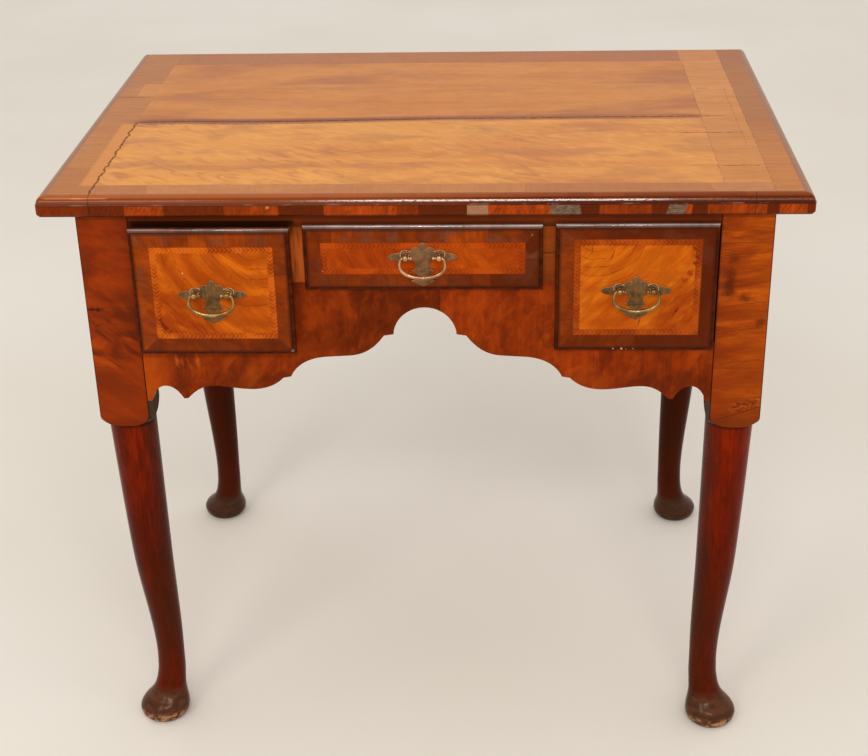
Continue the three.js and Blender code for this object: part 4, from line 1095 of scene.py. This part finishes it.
def meshed(made):
    """The mesh of an object with its modifiers or its curve worked out, as a new shape."""
    bpy.context.view_layer.update()
    mesh = bpy.data.meshes.new_from_object(made.evaluated_get(bpy.context.evaluated_depsgraph_get()))
    shape = bmesh.new()
    shape.from_mesh(mesh)
    bpy.data.meshes.remove(mesh)
    return shape


def placed(name, shape):
    mesh = bpy.data.meshes.new(name)
    shape.to_mesh(mesh)
    shape.free()
    made = bpy.data.objects.new(name, mesh)
    bpy.context.collection.objects.link(made)
    return made


def drawn_out(shape, face, way, keep=False):
    """Draws a face out by a vector; kept, the old face closes the far end."""
    grown = bmesh.ops.extrude_face_region(shape, geom=[face], use_keep_orig=keep)
    moved = [item for item in grown["geom"] if isinstance(item, bmesh.types.BMVert)]
    bmesh.ops.translate(shape, verts=moved, vec=way)
    if not keep:
        bmesh.ops.delete(shape, geom=[face], context="FACES_ONLY")


def cut_along(shape, place, outwards, clear=False):
    """Cuts a shape along a plane, clears what lies outside if asked, and gives the cut's edges."""
    cut = bmesh.ops.bisect_plane(
        shape, geom=[*shape.verts, *shape.edges, *shape.faces], dist=0.0000001, plane_co=place,
        plane_no=outwards, clear_outer=clear,
    )
    return [item for item in cut["geom_cut"] if isinstance(item, bmesh.types.BMEdge)]


def common(first, second):
    """The space that two shapes share."""
    one, other = placed("first", first), placed("second", second)
    cut = one.modifiers.new("cut", "BOOLEAN")
    cut.operation = "INTERSECT"
    cut.solver = "EXACT"
    cut.object = other
    shape = meshed(one)
    for made in (one, other):
        bpy.data.meshes.remove(made.data)
    return shape


def add_box(shape, low, high):
    size = [b - a for a, b in zip(low, high)]
    middle = [(a + b) / 2 for a, b in zip(low, high)]
    place = Matrix.Translation(middle) @ Matrix.Diagonal((*size, 1))
    return bmesh.ops.create_cube(shape, size=1, matrix=place)["verts"]


def join_into(shape, other):
    mesh = bpy.data.meshes.new("joined")
    other.to_mesh(mesh)
    other.free()
    shape.from_mesh(mesh)
    bpy.data.meshes.remove(mesh)


def spun(profile, sides, axis=(0, 0, 1)):
    """Spins a profile of (radius, height) points round an axis, closed at its ends on the axis."""
    shape = bmesh.new()
    upright = axis[2] == 1
    points = [(radius, 0, height) if upright else (radius, height, 0) for radius, height in profile]
    chain = [shape.verts.new(point) for point in points]
    edges = [shape.edges.new(pair) for pair in zip(chain, chain[1:])]
    bmesh.ops.spin(
        shape, geom=chain + edges, cent=(0, 0, 0), axis=axis, angle=2 * math.pi, steps=sides,
        use_merge=True,
    )
    bmesh.ops.remove_doubles(shape, verts=shape.verts, dist=0.000001)
    bmesh.ops.recalc_face_normals(shape, faces=shape.faces)
    return shape


def curve_through(start, moves, steps):
    """Points along straight lines (two numbers) and curves (two handles and an end)."""
    points = [Vector((*start, 0))]
    for move in moves:
        ends = [Vector((*move[i:i + 2], 0)) for i in range(0, len(move), 2)]
        if len(ends) == 1:
            points.append(ends[0])
            continue
        begin = points[-1].copy()
        for step in range(1, steps + 1):
            t = step / steps
            points.append(
                begin * (1 - t) ** 3 + ends[0] * (3 * t * (1 - t) ** 2)
                + ends[1] * (3 * t * t * (1 - t)) + ends[2] * t ** 3
            )
    return [(point.x, point.y) for point in points]


def sheet_of(outline, front, back):
    """A board cut to an outline of (across, up) points, between its front and back."""
    shape = bmesh.new()
    face = shape.faces.new([shape.verts.new((across, front, up)) for across, up in outline])
    bmesh.ops.recalc_face_normals(shape, faces=[face])
    drawn_out(shape, face, (0, back - front, 0), keep=True)
    bmesh.ops.recalc_face_normals(shape, faces=shape.faces)
    return shape


def soften(shape, edges, offset, segments=2):
    bmesh.ops.bevel(
        shape, geom=edges, offset=offset, segments=segments, affect="EDGES", profile=0.5, material=-1,
        clamp_overlap=True,
    )


def edges_at(shape, test):
    return [edge for edge in shape.edges if all(test(vert.co) for vert in edge.verts)]


# Legs: the foot from the ankle down, as shares of its height, its swell and its offset
FOOT = [
    (0.73, 0.02, 0.96), (0.54, 0.085, 0.82), (0.435, 0.18, 0.675), (0.36, 0.34, 0.53),
    (0.295, 0.57, 0.34), (0.24, 0.79, 0.17), (0.185, 0.94, 0.05), (0.136, 1, 0), (0.076, 0.93, 0),
    (0.033, 0.76, 0), (0, 0.54, 0),
]
ANKLE_OFFSET = POST / 2 - ANKLE_RADIUS
LEG_TOP = 0.443


def leg_stations():
    """Height, radius and offset at places up the leg, from the sole."""
    stations = [
        (height * ANKLE_HEIGHT, ANKLE_RADIUS + swell * (PAD_RADIUS - ANKLE_RADIUS), offset * ANKLE_OFFSET)
        for height, swell, offset in reversed(FOOT)
    ]
    stations.append((ANKLE_HEIGHT, ANKLE_RADIUS, ANKLE_OFFSET))
    stations.append((SWELL_HEIGHT, SWELL_RADIUS, POST / 2 - SWELL_RADIUS))
    stations.append((LEG_TOP, LEG_TOP_RADIUS, POST / 2 - LEG_TOP_RADIUS))
    return stations


def eased(stations, steps):
    """A smooth line through the stations, which leaves the ankle at half the shaft's lean."""
    def lean_between(below, above):
        if below * above > 0:
            return 2 * below * above / (below + above)
        return above / 2 if below < 0 < above else 0

    def slopes(values):
        heights = [station[0] for station in stations]
        runs = [
            (values[i + 1] - values[i]) / (heights[i + 1] - heights[i]) for i in range(len(values) - 1)
        ]
        inner = [lean_between(below, above) for below, above in zip(runs, runs[1:])]
        return [runs[0] * 1.4, *inner, runs[-1]]

    columns = [[station[k] for station in stations] for k in (1, 2)]
    leans = [slopes(column) for column in columns]
    line = []
    for i in range(len(stations) - 1):
        low, high = stations[i][0], stations[i + 1][0]
        count = steps if high < ANKLE_HEIGHT + 0.001 else 14
        for step in range(count):
            t = step / count
            values = []
            for column, lean in zip(columns, leans):
                a, b = column[i], column[i + 1]
                m, n = lean[i] * (high - low), lean[i + 1] * (high - low)
                values.append(
                    a * (2 * t ** 3 - 3 * t * t + 1) + m * (t ** 3 - 2 * t * t + t)
                    + b * (3 * t * t - 2 * t ** 3) + n * (t ** 3 - t * t)
                )
            line.append((low + (high - low) * t, *values))
    line.append(stations[-1])
    return line


def leg(name, side, end, materials):
    """A square post over an offset-turned club leg; the veneer covers the post's outer faces."""
    centre = Vector((
        side * (CASE_HALF - POST / 2), CASE_FRONT + POST / 2 if end < 0 else CASE_BACK - POST / 2, 0
    ))
    line = eased(leg_stations(), 5)
    shift = {round(height, 6): offset for height, _, offset in line}
    profile = [(0, 0), *[(radius, height) for height, radius, _ in line], (0, LEG_TOP)]
    shaft = spun(profile, 96)
    for vert in shaft.verts:
        offset = shift.get(round(vert.co.z, 6), 0)
        vert.co.x -= side * offset
        vert.co.y -= end * offset
    reach = POST / 2 * math.sqrt(2) + 0.002
    turn = []
    for step in range(17):
        a = math.pi / 2 * step / 16
        out = LEG_TOP_RADIUS + (reach - LEG_TOP_RADIUS) * math.sin(a)
        turn.append((out, SHOULDER + SHOULDER_RISE * (1 - math.cos(a))))
    turning = spun([(0, SHOULDER), *turn, (reach, TOP_UNDERSIDE + 0.01), (0, TOP_UNDERSIDE + 0.01)], 96)
    block = bmesh.new()
    half = POST / 2
    add_box(block, (-half, -half, SHOULDER - 0.01), (half, half, TOP_UNDERSIDE))
    soften(block, [e for e in block.edges if abs(e.verts[0].co.z - e.verts[1].co.z) > 0.01], 0.0011, 3)
    shape = common(block, turning)
    join_into(shape, shaft)
    bmesh.ops.translate(shape, verts=shape.verts, vec=centre)
    shape.normal_update()
    outer = half - 0.0005
    for face in shape.faces:
        middle = face.calc_center_median()
        faces_out, faces_aside = face.normal.y * end, face.normal.x * side
        if middle.z <= SHOULDER:
            continue
        if faces_out > 0.99 and abs(middle.y - centre.y) > outer:
            face.material_index = 1
        elif faces_aside > 0.99 and abs(middle.x - centre.x) > outer:
            face.material_index = 2
        elif min(faces_out, faces_aside) < -0.99:
            face.material_index = 3
    piece_of(name + "_turned", shape, materials, "carcass", [name], 30)


TURNED = leg_finish()
LEFT_FACE, RIGHT_FACE = post_finish("left post veneer", -1), post_finish("right post veneer", 1)
SIDE = side_finish()
DULL = plain_wood("unpolished walnut", (74, 48, 28), (44, 28, 17), "z", 0.8)
for hand, side in (("left", -1), ("right", 1)):
    face = LEFT_FACE if side < 0 else RIGHT_FACE
    leg(f"front_{hand}_leg", side, -1, [TURNED, face, SIDE, DULL])
    leg(f"back_{hand}_leg", side, 1, [TURNED, TURNED, SIDE, DULL])


# Top: how deep its moulding is, and the moulding's lower edge as (distance in, height above its foot)
MOULDING_DEPTH = 0.012
UNDERCUT = [(0, 0.0029), (0.0003, 0.0024), (0.0022, 0.0003), (0.0027, 0)]


def moulding_profile():
    """Points of (distance in from the edge, height) round the moulding's section."""
    points = [(MOULDING_DEPTH, TOP_HEIGHT)]
    rounds = [(TOP_HEIGHT, OVOLO, FILLET, 10), (TOP_HEIGHT - OVOLO, NOSE, 0, 4)]
    for start, radius, inward, steps in rounds:
        for step in range(steps + 1):
            a = math.pi / 2 * step / steps
            points.append((inward + radius * (1 - math.sin(a)), start - radius * (1 - math.cos(a))))
    points += [(inward, TOP_UNDERSIDE + up) for inward, up in UNDERCUT]
    return [*points, (MOULDING_DEPTH, TOP_UNDERSIDE)]


PLAN_CORNER = 0.006


def round_corner(shape, side):
    """Rounds the plan corner: each square line round it becomes a circle."""
    centre = Vector((side * (TOP_HALF - PLAN_CORNER), TOP_FRONT + PLAN_CORNER, 0))
    for step in range(1, 16):
        angle = math.pi / 2 * step / 16
        cut_along(shape, centre, (side * math.sin(angle), math.cos(angle), 0))
    for vert in shape.verts:
        across, out = (vert.co.x - centre.x) * side, centre.y - vert.co.y
        if across > 0 and out > 0:
            share = max(across, out) / math.hypot(across, out)
            vert.co.x = centre.x + side * across * share
            vert.co.y = centre.y - out * share


def moulding(name, side, material):
    """The edge moulding along the front (side 0) or one side, mitred and rounded at the corners."""
    shape = bmesh.new()
    if side:
        ring = [(side * (TOP_HALF - inward), TOP_BACK, up) for inward, up in moulding_profile()]
        run = Vector((0, TOP_FRONT - TOP_BACK, 0))
    else:
        ring = [(-TOP_HALF, TOP_FRONT + inward, up) for inward, up in moulding_profile()]
        run = Vector((2 * TOP_HALF, 0, 0))
    face = shape.faces.new([shape.verts.new(point) for point in ring])
    drawn_out(shape, face, run, keep=True)
    for corner in ([side] if side else [-1, 1]):
        outwards = (-corner, -1, 0) if side else (corner, 1, 0)
        rim = cut_along(shape, (corner * TOP_HALF, TOP_FRONT, 0), outwards, clear=True)
        bmesh.ops.holes_fill(shape, edges=rim, sides=0)
        round_corner(shape, corner)
    bmesh.ops.remove_doubles(shape, verts=shape.verts, dist=0.0000005)
    bmesh.ops.recalc_face_normals(shape, faces=shape.faces)
    piece_of(name + "_run", shape, [material], "carcass", [name], 28)


SIDE_EDGE = edge_finish("side edge walnut", False)
moulding("top_front_moulding", 0, edge_finish("front edge walnut", True))
moulding("top_left_moulding", -1, SIDE_EDGE)
moulding("top_right_moulding", 1, SIDE_EDGE)


# Apron: its lower edge from the arch to the post, as shares of the half width and of the rise
SCALLOPS = [
    (0.1435, 0.706), (0.1735, 0.589, 0.208, 0.506, 0.265, 0.494), (0.353, 0.48),
    (0.423, 0.463, 0.461, 0.372, 0.478, 0.268), (0.506, 0.254), (0.53, 0.182, 0.568, 0.13, 0.618, 0.13),
    (0.669, 0.13, 0.713, 0.165, 0.757, 0.165), (0.801, 0.165, 0.827, 0.104, 0.852, 0.03), (0.868, 0.026),
    (0.883, 0.104, 0.902, 0.165, 0.931, 0.165), (0.956, 0.165, 0.975, 0.095, 0.983, 0), (1, 0),
]
APRON_TIP, ARCH_TOP, ARCH_RADIUS, ARCH_FOOT = 0.462, 0.5775, 0.035, 0.72
APRON_SHELF, APRON_CROWN, CROWN_HALF, APRON_THICK = 0.536, 0.608, 0.147, 0.020


def apron(material):
    rise = ARCH_TOP - APRON_TIP
    foot_height = APRON_TIP + ARCH_FOOT * rise
    centre_height = ARCH_TOP - ARCH_RADIUS
    foot_across = math.sqrt(max(ARCH_RADIUS ** 2 - (foot_height - centre_height) ** 2, 0))
    start_angle = math.atan2(foot_height - centre_height, foot_across)
    arch = [
        (ARCH_RADIUS * math.cos(a), centre_height + ARCH_RADIUS * math.sin(a))
        for a in [math.pi / 2 + (start_angle - math.pi / 2) * step / 24 for step in range(25)]
    ]
    lower = curve_through((foot_across / POST_INNER, ARCH_FOOT), SCALLOPS, 14)
    half = arch + [(across * POST_INNER, APRON_TIP + up * rise) for across, up in lower[1:]]
    half += [(POST_INNER, APRON_SHELF), (CROWN_HALF, APRON_SHELF), (CROWN_HALF, APRON_CROWN)]
    outline = half + [(-across, up) for across, up in reversed(half) if across > 0.0000001]
    shape = sheet_of(outline, CASE_FRONT, CASE_FRONT + APRON_THICK)
    near = 0.0001
    rims = []
    for edge in edges_at(shape, lambda co: co.y < CASE_FRONT + near and co.z < ARCH_TOP + 4 * near):
        places = [(abs(vert.co.x), vert.co.z) for vert in edge.verts]
        lowest = min(up for _, up in places)
        scalloped = min(places)[0] < POST_INNER - 5 * near and lowest < APRON_SHELF - near
        if scalloped or max(places)[0] < ARCH_RADIUS + near:
            rims.append(edge)
    soften(shape, rims, 0.0006, 2)
    piece_of("front_apron_cut", shape, [material], "carcass", ["front_apron"], 30)


apron(apron_finish())


# Drawers: the plate's right half from its top, as shares of its width and of its rise or drop
PLATE = [
    (0.06, 1, 0.115, 0.84, 0.115, 0.65), (0.139, 0.55), (0.2, 0.67, 0.29, 0.62, 0.347, 0.34),
    (0.373, 0.27), (0.427, 0.415, 0.573, 0.43, 0.653, 0.16), (0.677, 0.1),
    (0.76, 0.16, 0.88, 0.05, 1, -0.088),
    (0.92, -0.2, 0.747, -0.226, 0.573, -0.193), (0.373, -0.154, 0.192, -0.18, 0.197, -0.336),
    (0.203, -0.452, 0.248, -0.477, 0.309, -0.485), (0.272, -0.562, 0.16, -0.562, 0.144, -0.65),
    (0.173, -0.744, 0.267, -0.782, 0.347, -0.81), (0.253, -0.898, 0.12, -0.915, 0, -1),
]
PLATE_HALF, PLATE_RISE, PLATE_DROP = 0.0381, 0.0136, 0.0374
BAIL_HALF, BAIL_DROP, BALL, BEAD = 0.0244, 0.023, 0.0036, 0.0023


def drawer_front(name, lip, ajar, material, oak):
    """The lipped front: an ovolo round a raised face, with the CAD front's own body behind it."""
    shape = bmesh.new()
    (left, right), (low, high) = lip
    step = 0.0006
    add_box(shape, (left, LIP_FRONT + step, low), (right, LIP_BACK, high))
    soften(shape, edges_at(shape, lambda co: co.y < LIP_FRONT + step + 0.0001), LIP_ROUND, 8)
    face = min(shape.faces, key=lambda item: item.calc_center_median().y)
    bmesh.ops.inset_region(shape, faces=[face], thickness=0.0004, depth=0.0)
    drawn_out(shape, face, (0, -step, 0))
    soften(shape, edges_at(shape, lambda co: co.y < LIP_FRONT + 0.0001), 0.00025, 2)
    bmesh.ops.recalc_face_normals(shape, faces=shape.faces)
    bmesh.ops.translate(shape, verts=shape.verts, vec=(0, -ajar, 0))
    body = bmesh.new()
    body.from_mesh(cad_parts[f"{name}_drawer_front"].data)
    bmesh.ops.remove_doubles(body, verts=body.verts, dist=0.000005)
    rim = cut_along(body, (0, LIP_BACK + 0.0003 - ajar, 0), (0, -1, 0), clear=True)
    bmesh.ops.triangle_fill(body, use_beauty=True, edges=rim)
    bmesh.ops.recalc_face_normals(body, faces=body.faces)
    for item in body.faces:
        item.material_index = 1
    join_into(shape, body)
    piece_of(
        f"{name}_drawer_lipped_front", shape, [material, oak], f"{name}_drawer",
        [f"{name}_drawer_front"],
    )


def backplate(name, across, up, ajar, material):
    """The bat-wing plate, cut from sheet and bevelled."""
    half = curve_through((0, 1), PLATE, 10)
    right = [
        (share * PLATE_HALF, rise * (PLATE_RISE if rise > 0 else PLATE_DROP)) for share, rise in half
    ]
    outline = right + [(-x, z) for x, z in reversed(right[1:-1])]
    shape = sheet_of([(across + x, up + z) for x, z in outline], PLATE_FRONT - ajar, LIP_FRONT - ajar)
    soften(shape, edges_at(shape, lambda co: co.y < PLATE_FRONT - ajar + 0.0001), 0.0008, 2)
    piece_of(
        f"{name}_plate", shape, [material], f"{name}_drawer", [f"{name}_backplate"], 50
    )


def handle_post(name, hand, across, up, ajar, material):
    """A turned post: a flange on the plate, a waisted neck and a ball."""
    neck = [
        (0, -0.0005), (0.0042, -0.0005), (0.0042, 0.0008), (0.0038, 0.0012), (0.0026, 0.0014),
        (0.0021, 0.0026), (0.0020, 0.0045), (0.0022, 0.0062),
    ]
    turn = math.asin(neck[-1][0] / BALL)
    angles = [turn + (math.pi - turn) * step / 20 for step in range(1, 21)]
    ball = [(BALL * math.sin(a), HINGE_STANDOFF - BALL * math.cos(a)) for a in angles[:-1]]
    profile = [*neck, *ball, (0, HINGE_STANDOFF + BALL)]
    shape = spun([(radius, -height) for radius, height in profile], 40, axis=(0, 1, 0))
    bmesh.ops.recalc_face_normals(shape, faces=shape.faces)
    bmesh.ops.translate(shape, verts=shape.verts, vec=(across, PLATE_FRONT - ajar, up))
    piece_of(
        f"{name}_{hand}_ball_post", shape, [material], f"{name}_drawer",
        [f"{name}_{hand}_post"],
    )


def bail_handle(name, across, up, ajar, material):
    """A hanging bail: it swells towards the middle, and ends in a bead inside each ball."""
    bead, bend = POST_SPREAD - BALL - BEAD, POST_SPREAD + BALL / 2
    arm = curve_through((bend, 0), [
        (0.965 * BAIL_HALF, 0, BAIL_HALF, -0.17 * BAIL_DROP, BAIL_HALF, -0.39 * BAIL_DROP),
        (BAIL_HALF, -0.78 * BAIL_DROP, 0.49 * BAIL_HALF, -BAIL_DROP, 0, -BAIL_DROP),
    ], 24)
    right = [(bead, 0), (POST_SPREAD, 0), *arm]
    points = [(-x, z) for x, z in right] + [(x, z) for x, z in reversed(right[:-1])]
    curve = bpy.data.curves.new("bail wire", "CURVE")
    curve.dimensions = "3D"
    curve.bevel_depth = 0.001
    curve.bevel_resolution = 5
    curve.use_fill_caps = True
    spline = curve.splines.new("POLY")
    spline.points.add(len(points) - 1)
    for point, (x, z) in zip(spline.points, points):
        point.co = (across + x, PLATE_FRONT - ajar - HINGE_STANDOFF, up + z, 1)
        drop = min(max(-z / BAIL_DROP, 0), 1)
        point.radius = 1.45 + 0.75 * drop ** 1.5
    wire = bpy.data.objects.new("bail wire", curve)
    bpy.context.collection.objects.link(wire)
    shape = meshed(wire)
    bpy.data.objects.remove(wire)
    bpy.data.curves.remove(curve)
    for end in (-1, 1):
        place = Matrix.Translation((across + end * bead, PLATE_FRONT - ajar - HINGE_STANDOFF, up))
        bmesh.ops.create_uvsphere(
            shape, u_segments=24, v_segments=16, radius=BEAD,
            matrix=place @ Matrix.Diagonal((0.85, 1, 1, 1)),
        )
    piece_of(f"{name}_bail_wire", shape, [material], f"{name}_bail", [f"{name}_bail"], 60)


OAK = plain_wood("drawer oak", (188, 122, 66), (142, 84, 42), "y", 0.62)
OAK_ACROSS = plain_wood("drawer oak across", (180, 117, 64), (134, 80, 40), "x", 0.64)
# Each drawer front: its lip's edges, its herringbone band's centre and half sizes, its handle's place,
# its tones (the sheen is the colour of the painted highlight on its lip, and the shine sets how strong
# that highlight and the lip's coat are), the crossband's lightness from left to right, and its own marks
DRAWERS = {
    "left": {
        "lip": ((-0.3158, -0.1416), (0.5278, 0.6760)), "band": ((-0.227, 0.602), (0.067, 0.054)),
        "ajar": LEFT_AJAR, "handle": (-0.229, 0.60425), "plate": ((128, 90, 52), (82, 62, 37)),
        "cast": ((184, 150, 92), (108, 84, 48)),
        "light": (210, 101, 14), "dark": (184, 79, 10), "bright": (224, 118, 20), "deep": (150, 54, 7),
        "stripe": ((200, 94, 20), (164, 64, 12)), "sheen": (190, 140, 118),
        "turn": -38, "ripple": (-52, 0.8), "shine": 0.4, "feather": 0.17,
        "grey": 0.4, "sides": (0.75, 0.5),
        "above": [(0.0, 0.7), (0.2, 0.45), (0.36, 0.8), (0.62, 0.6), (0.8, 0.5)],
        "below": [(0.0, 0.3), (0.3, 0.4), (0.7, 0.25)],
        "rings": {"at": (-0.178, 0.672), "Spacing": 0.0105, "Warp": 0.012, "Reach": 0.09},
        "ring_shares": (0.6, 0.5), "shade": (-0.275, 0.562, 0.062),
        "cracks": [
            (-0.207, 0.622, 80, 0.010, 0.0008, 61.0), (-0.186, 0.618, 75, 0.010, 0.0008, 62.0),
            (-0.262, 0.628, -40, 0.016, 0.0007, 63.0), (-0.238, 0.632, -40, 0.02, 0.0006, 68.0),
        ],
        "spots": [
            (-0.2885, 0.5705, 0.0032, (96, 28, 6)), (-0.2865, 0.5655, 0.0042, (90, 26, 6)),
            (-0.284, 0.5605, 0.0052, (96, 28, 6)), (-0.279, 0.5565, 0.0042, (110, 34, 7)),
            # The first spot here is a painted highlight on the lip's lower right corner.
            (-0.1452, 0.5332, 0.0022, (140, 108, 92)), (-0.2595, 0.6262, 0.0011, (255, 214, 190)),
        ],
    },
    "centre": {
        "lip": ((-0.1288, 0.1288), (0.6013, 0.6760)), "band": ((0.0, 0.63875), (0.110, 0.01825)),
        "ajar": 0.0, "handle": (0.0, 0.64375), "plate": ((146, 102, 68), (98, 70, 46)),
        "cast": ((212, 166, 124), (150, 108, 74)),
        "light": (184, 72, 8), "dark": (156, 54, 6), "bright": (198, 88, 13), "deep": (136, 43, 5),
        "stripe": ((178, 70, 11), (152, 54, 8)), "sheen": (226, 202, 190),
        "turn": -60, "ripple": (-62, 0.55), "shine": 0.7, "feather": 0.05,
        "grey": 0.75, "sides": (0.3, 0.12),
        "above": [
            (0.0, 0.3), (0.12, 0.65), (0.32, 0.45), (0.46, 0.4), (0.595, 0.9), (0.77, 0.4), (0.92, 0.2),
        ],
        "below": [(0.0, 0.35), (0.3, 0.5), (0.6, 0.25), (0.78, 0.12)],
        "rings": {"at": (0.075, 0.655), "Spacing": 0.0062, "Warp": 0.03, "Reach": 0.03},
        "ring_shares": (0.4, 0.35), "shade": (-0.06, 0.64, 0.045),
        "cracks": [(-0.109, 0.633, 90, 0.020, 0.0012, 64.0)],
        "spots": [(-0.1085, 0.624, 0.0012, (230, 170, 110)), (0.117, 0.6655, 0.002, (150, 96, 70))],
    },
    "right": {
        "lip": ((0.1422, 0.3158), (0.5284, 0.6766)), "band": ((0.230, 0.604), (0.068, 0.056)),
        "ajar": 0.0, "handle": (0.229, 0.60425), "plate": ((128, 90, 52), (82, 62, 37)),
        "cast": ((172, 140, 88), (100, 78, 46)),
        "light": (208, 102, 14), "dark": (188, 84, 11), "bright": (220, 120, 20), "deep": (158, 60, 7),
        "stripe": ((172, 74, 15), (140, 54, 10)), "sheen": (214, 186, 174),
        "turn": 42, "ripple": (45, 0.5), "shine": 0.5, "feather": 0.14,
        "grey": 0.25, "sides": (0.5, 0.1),
        "above": [(0.0, 0.25), (0.3, 0.12), (0.7, 0.1)],
        "below": [(0.0, 0.3), (0.5, 0.15)],
        "rings": {"at": (0.188, 0.672), "Spacing": 0.0088, "Warp": 0.012, "Reach": 0.05},
        "ring_shares": (0.75, 0.28), "shade": (0.285, 0.575, 0.05),
        "cracks": [
            (0.203, 0.642, 68, 0.016, 0.0013, 65.0), (0.181, 0.648, 80, 0.012, 0.0012, 66.0),
            (0.272, 0.575, 62, 0.018, 0.0015, 67.0), (0.2335, 0.563, 84, 0.014, 0.0012, 69.0),
        ],
        "spots": [
            (0.2885, 0.650, 0.0046, (112, 32, 7)), (0.2915, 0.6405, 0.0044, (96, 24, 6)),
            (0.2905, 0.6325, 0.0042, (104, 28, 6)), (0.2865, 0.621, 0.0062, (142, 46, 8)),
            (0.280, 0.612, 0.0058, (148, 52, 9)), (0.2065, 0.5309, 0.0013, (196, 156, 130)),
            (0.2155, 0.5311, 0.0021, (206, 166, 142)), (0.2205, 0.5307, 0.0016, (190, 148, 124)),
            (0.2285, 0.5311, 0.0012, (196, 156, 130)), (0.2955, 0.613, 0.002, (170, 96, 60)),
        ],
    },
}
for name, drawer in DRAWERS.items():
    ajar = drawer["ajar"]
    finish = drawer_finish(f"{name} drawer veneer", drawer, LIP_FRONT - ajar)
    drawer_front(name, drawer["lip"], ajar, finish, OAK_ACROSS)
    across, up = drawer["handle"]
    plate = plate_finish(f"{name} plate brass", PLATE_FRONT - ajar, (across, up), *drawer["plate"])
    cast = cast_finish(f"{name} cast brass", *drawer["cast"])
    backplate(name, across, up, ajar, plate)
    for hand, side in (("left", -1), ("right", 1)):
        handle_post(name, hand, across + side * POST_SPREAD, up, ajar, cast)
    bail_handle(name, across, up, ajar, cast)


# Finishes of the pieces whose CAD shape is right
PINE = plain_wood("back pine", (170, 106, 56), (124, 72, 36), "x", 0.72, 0.7)
RAIL = rail_finish()
kept = {
    "front_top_rail": RAIL, "left_divider": RAIL, "right_divider": RAIL,
    "left_side_panel": SIDE, "right_side_panel": SIDE, "back_panel": PINE,
    "left_glue_block": PINE, "right_glue_block": PINE,
}
for node_name, looks in TOP_PARTS.items():
    kept[node_name] = top_finish(node_name.replace("_", " ") + " veneer", *looks)
by_ending = {
    ("_runner", "_left_side", "_right_side"): OAK,
    ("_drawer_back", "_drawer_bottom"): OAK_ACROSS,
    ("_nut",): plate_finish("nut brass", -1.0),
}
for node_name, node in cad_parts.items():
    for endings, finish in by_ending.items():
        if node_name.endswith(endings):
            kept[node_name] = finish
    if node_name in kept:
        node.data.materials.clear()
        node.data.materials.append(kept[node_name])


# Floor, light and camera
def floor_finish():
    f = Finish("pale floor", Specular_IOR_Level=0.1, Specular_Tint=(1, 1, 1, 1))
    g = f.graph
    cloud = g.noise(f.place, 1.3, 3.0)
    grit = g.noise(f.place, 260.0, 2.0)
    colour = g.mix(g.smooth(cloud, 0.3, 0.7), (250, 244, 234), (245, 238, 226))
    return f.done(colour, g.smooth(cloud, 0.2, 0.8, 0.8, 0.9), g.bump(grit, 0.0004, 0.3))


floor_mesh = bmesh.new()
bmesh.ops.create_grid(floor_mesh, x_segments=8, y_segments=8, size=9)
floor = placed("floor", floor_mesh)
floor.data.materials.append(floor_finish())

world = bpy.data.worlds.new("studio")
bpy.context.scene.world = world
world.use_nodes = True
studio = Graph(world.node_tree)
sky = world.node_tree.nodes["Background"]
path = studio.node("ShaderNodeLightPath")
seen = studio.most(*(path.outputs[f"Is {kind} Ray"] for kind in ("Camera", "Glossy", "Transmission")))
sky.inputs["Color"].default_value = (1, 0.975, 0.94, 1)
studio.feed(sky.inputs["Strength"], 0.74 + seen * 0.26)


def lamp(name, place, target, size, power, tint=(1, 1, 1)):
    light = bpy.data.lights.new(name, "AREA")
    light.shape = "RECTANGLE"
    light.size, light.size_y = size
    light.energy = power
    light.color = tint
    made = bpy.data.objects.new(name, light)
    made.location = place
    made.rotation_euler = (Vector(target) - Vector(place)).to_track_quat("-Z", "Y").to_euler()
    bpy.context.collection.objects.link(made)


lamp("soft window", (-1.5, -2.6, 2.4), (0, 0, 0.55), (1.0, 0.9), 17, (1, 0.97, 0.93))
lamp("long strip", (0.25, -2.7, 2.42), (0, 0, 0.6), (1.5, 0.26), 27, (1, 0.985, 0.96))

camera_data = bpy.data.cameras.new("camera")
camera_data.sensor_width = 36
camera_data.lens = 66.17
camera_data.clip_start = 0.05
camera = bpy.data.objects.new("camera", camera_data)
bpy.context.collection.objects.link(camera)
EYE = (0.09118, -1.85165, 1.29347)
yaw, pitch, roll = -0.051688, -0.466436, -0.022558
forward = Vector((math.sin(yaw) * math.cos(pitch), math.cos(yaw) * math.cos(pitch), math.sin(pitch)))
level = forward.cross(Vector((0, 0, 1))).normalized()
raised = level.cross(forward)
right = level * math.cos(roll) + raised * math.sin(roll)
upward = raised * math.cos(roll) - level * math.sin(roll)
camera.matrix_world = Matrix((*zip(right, upward, -forward, EYE), (0, 0, 0, 1)))
bpy.context.scene.camera = camera
bpy.context.scene.view_settings.view_transform = "Standard"
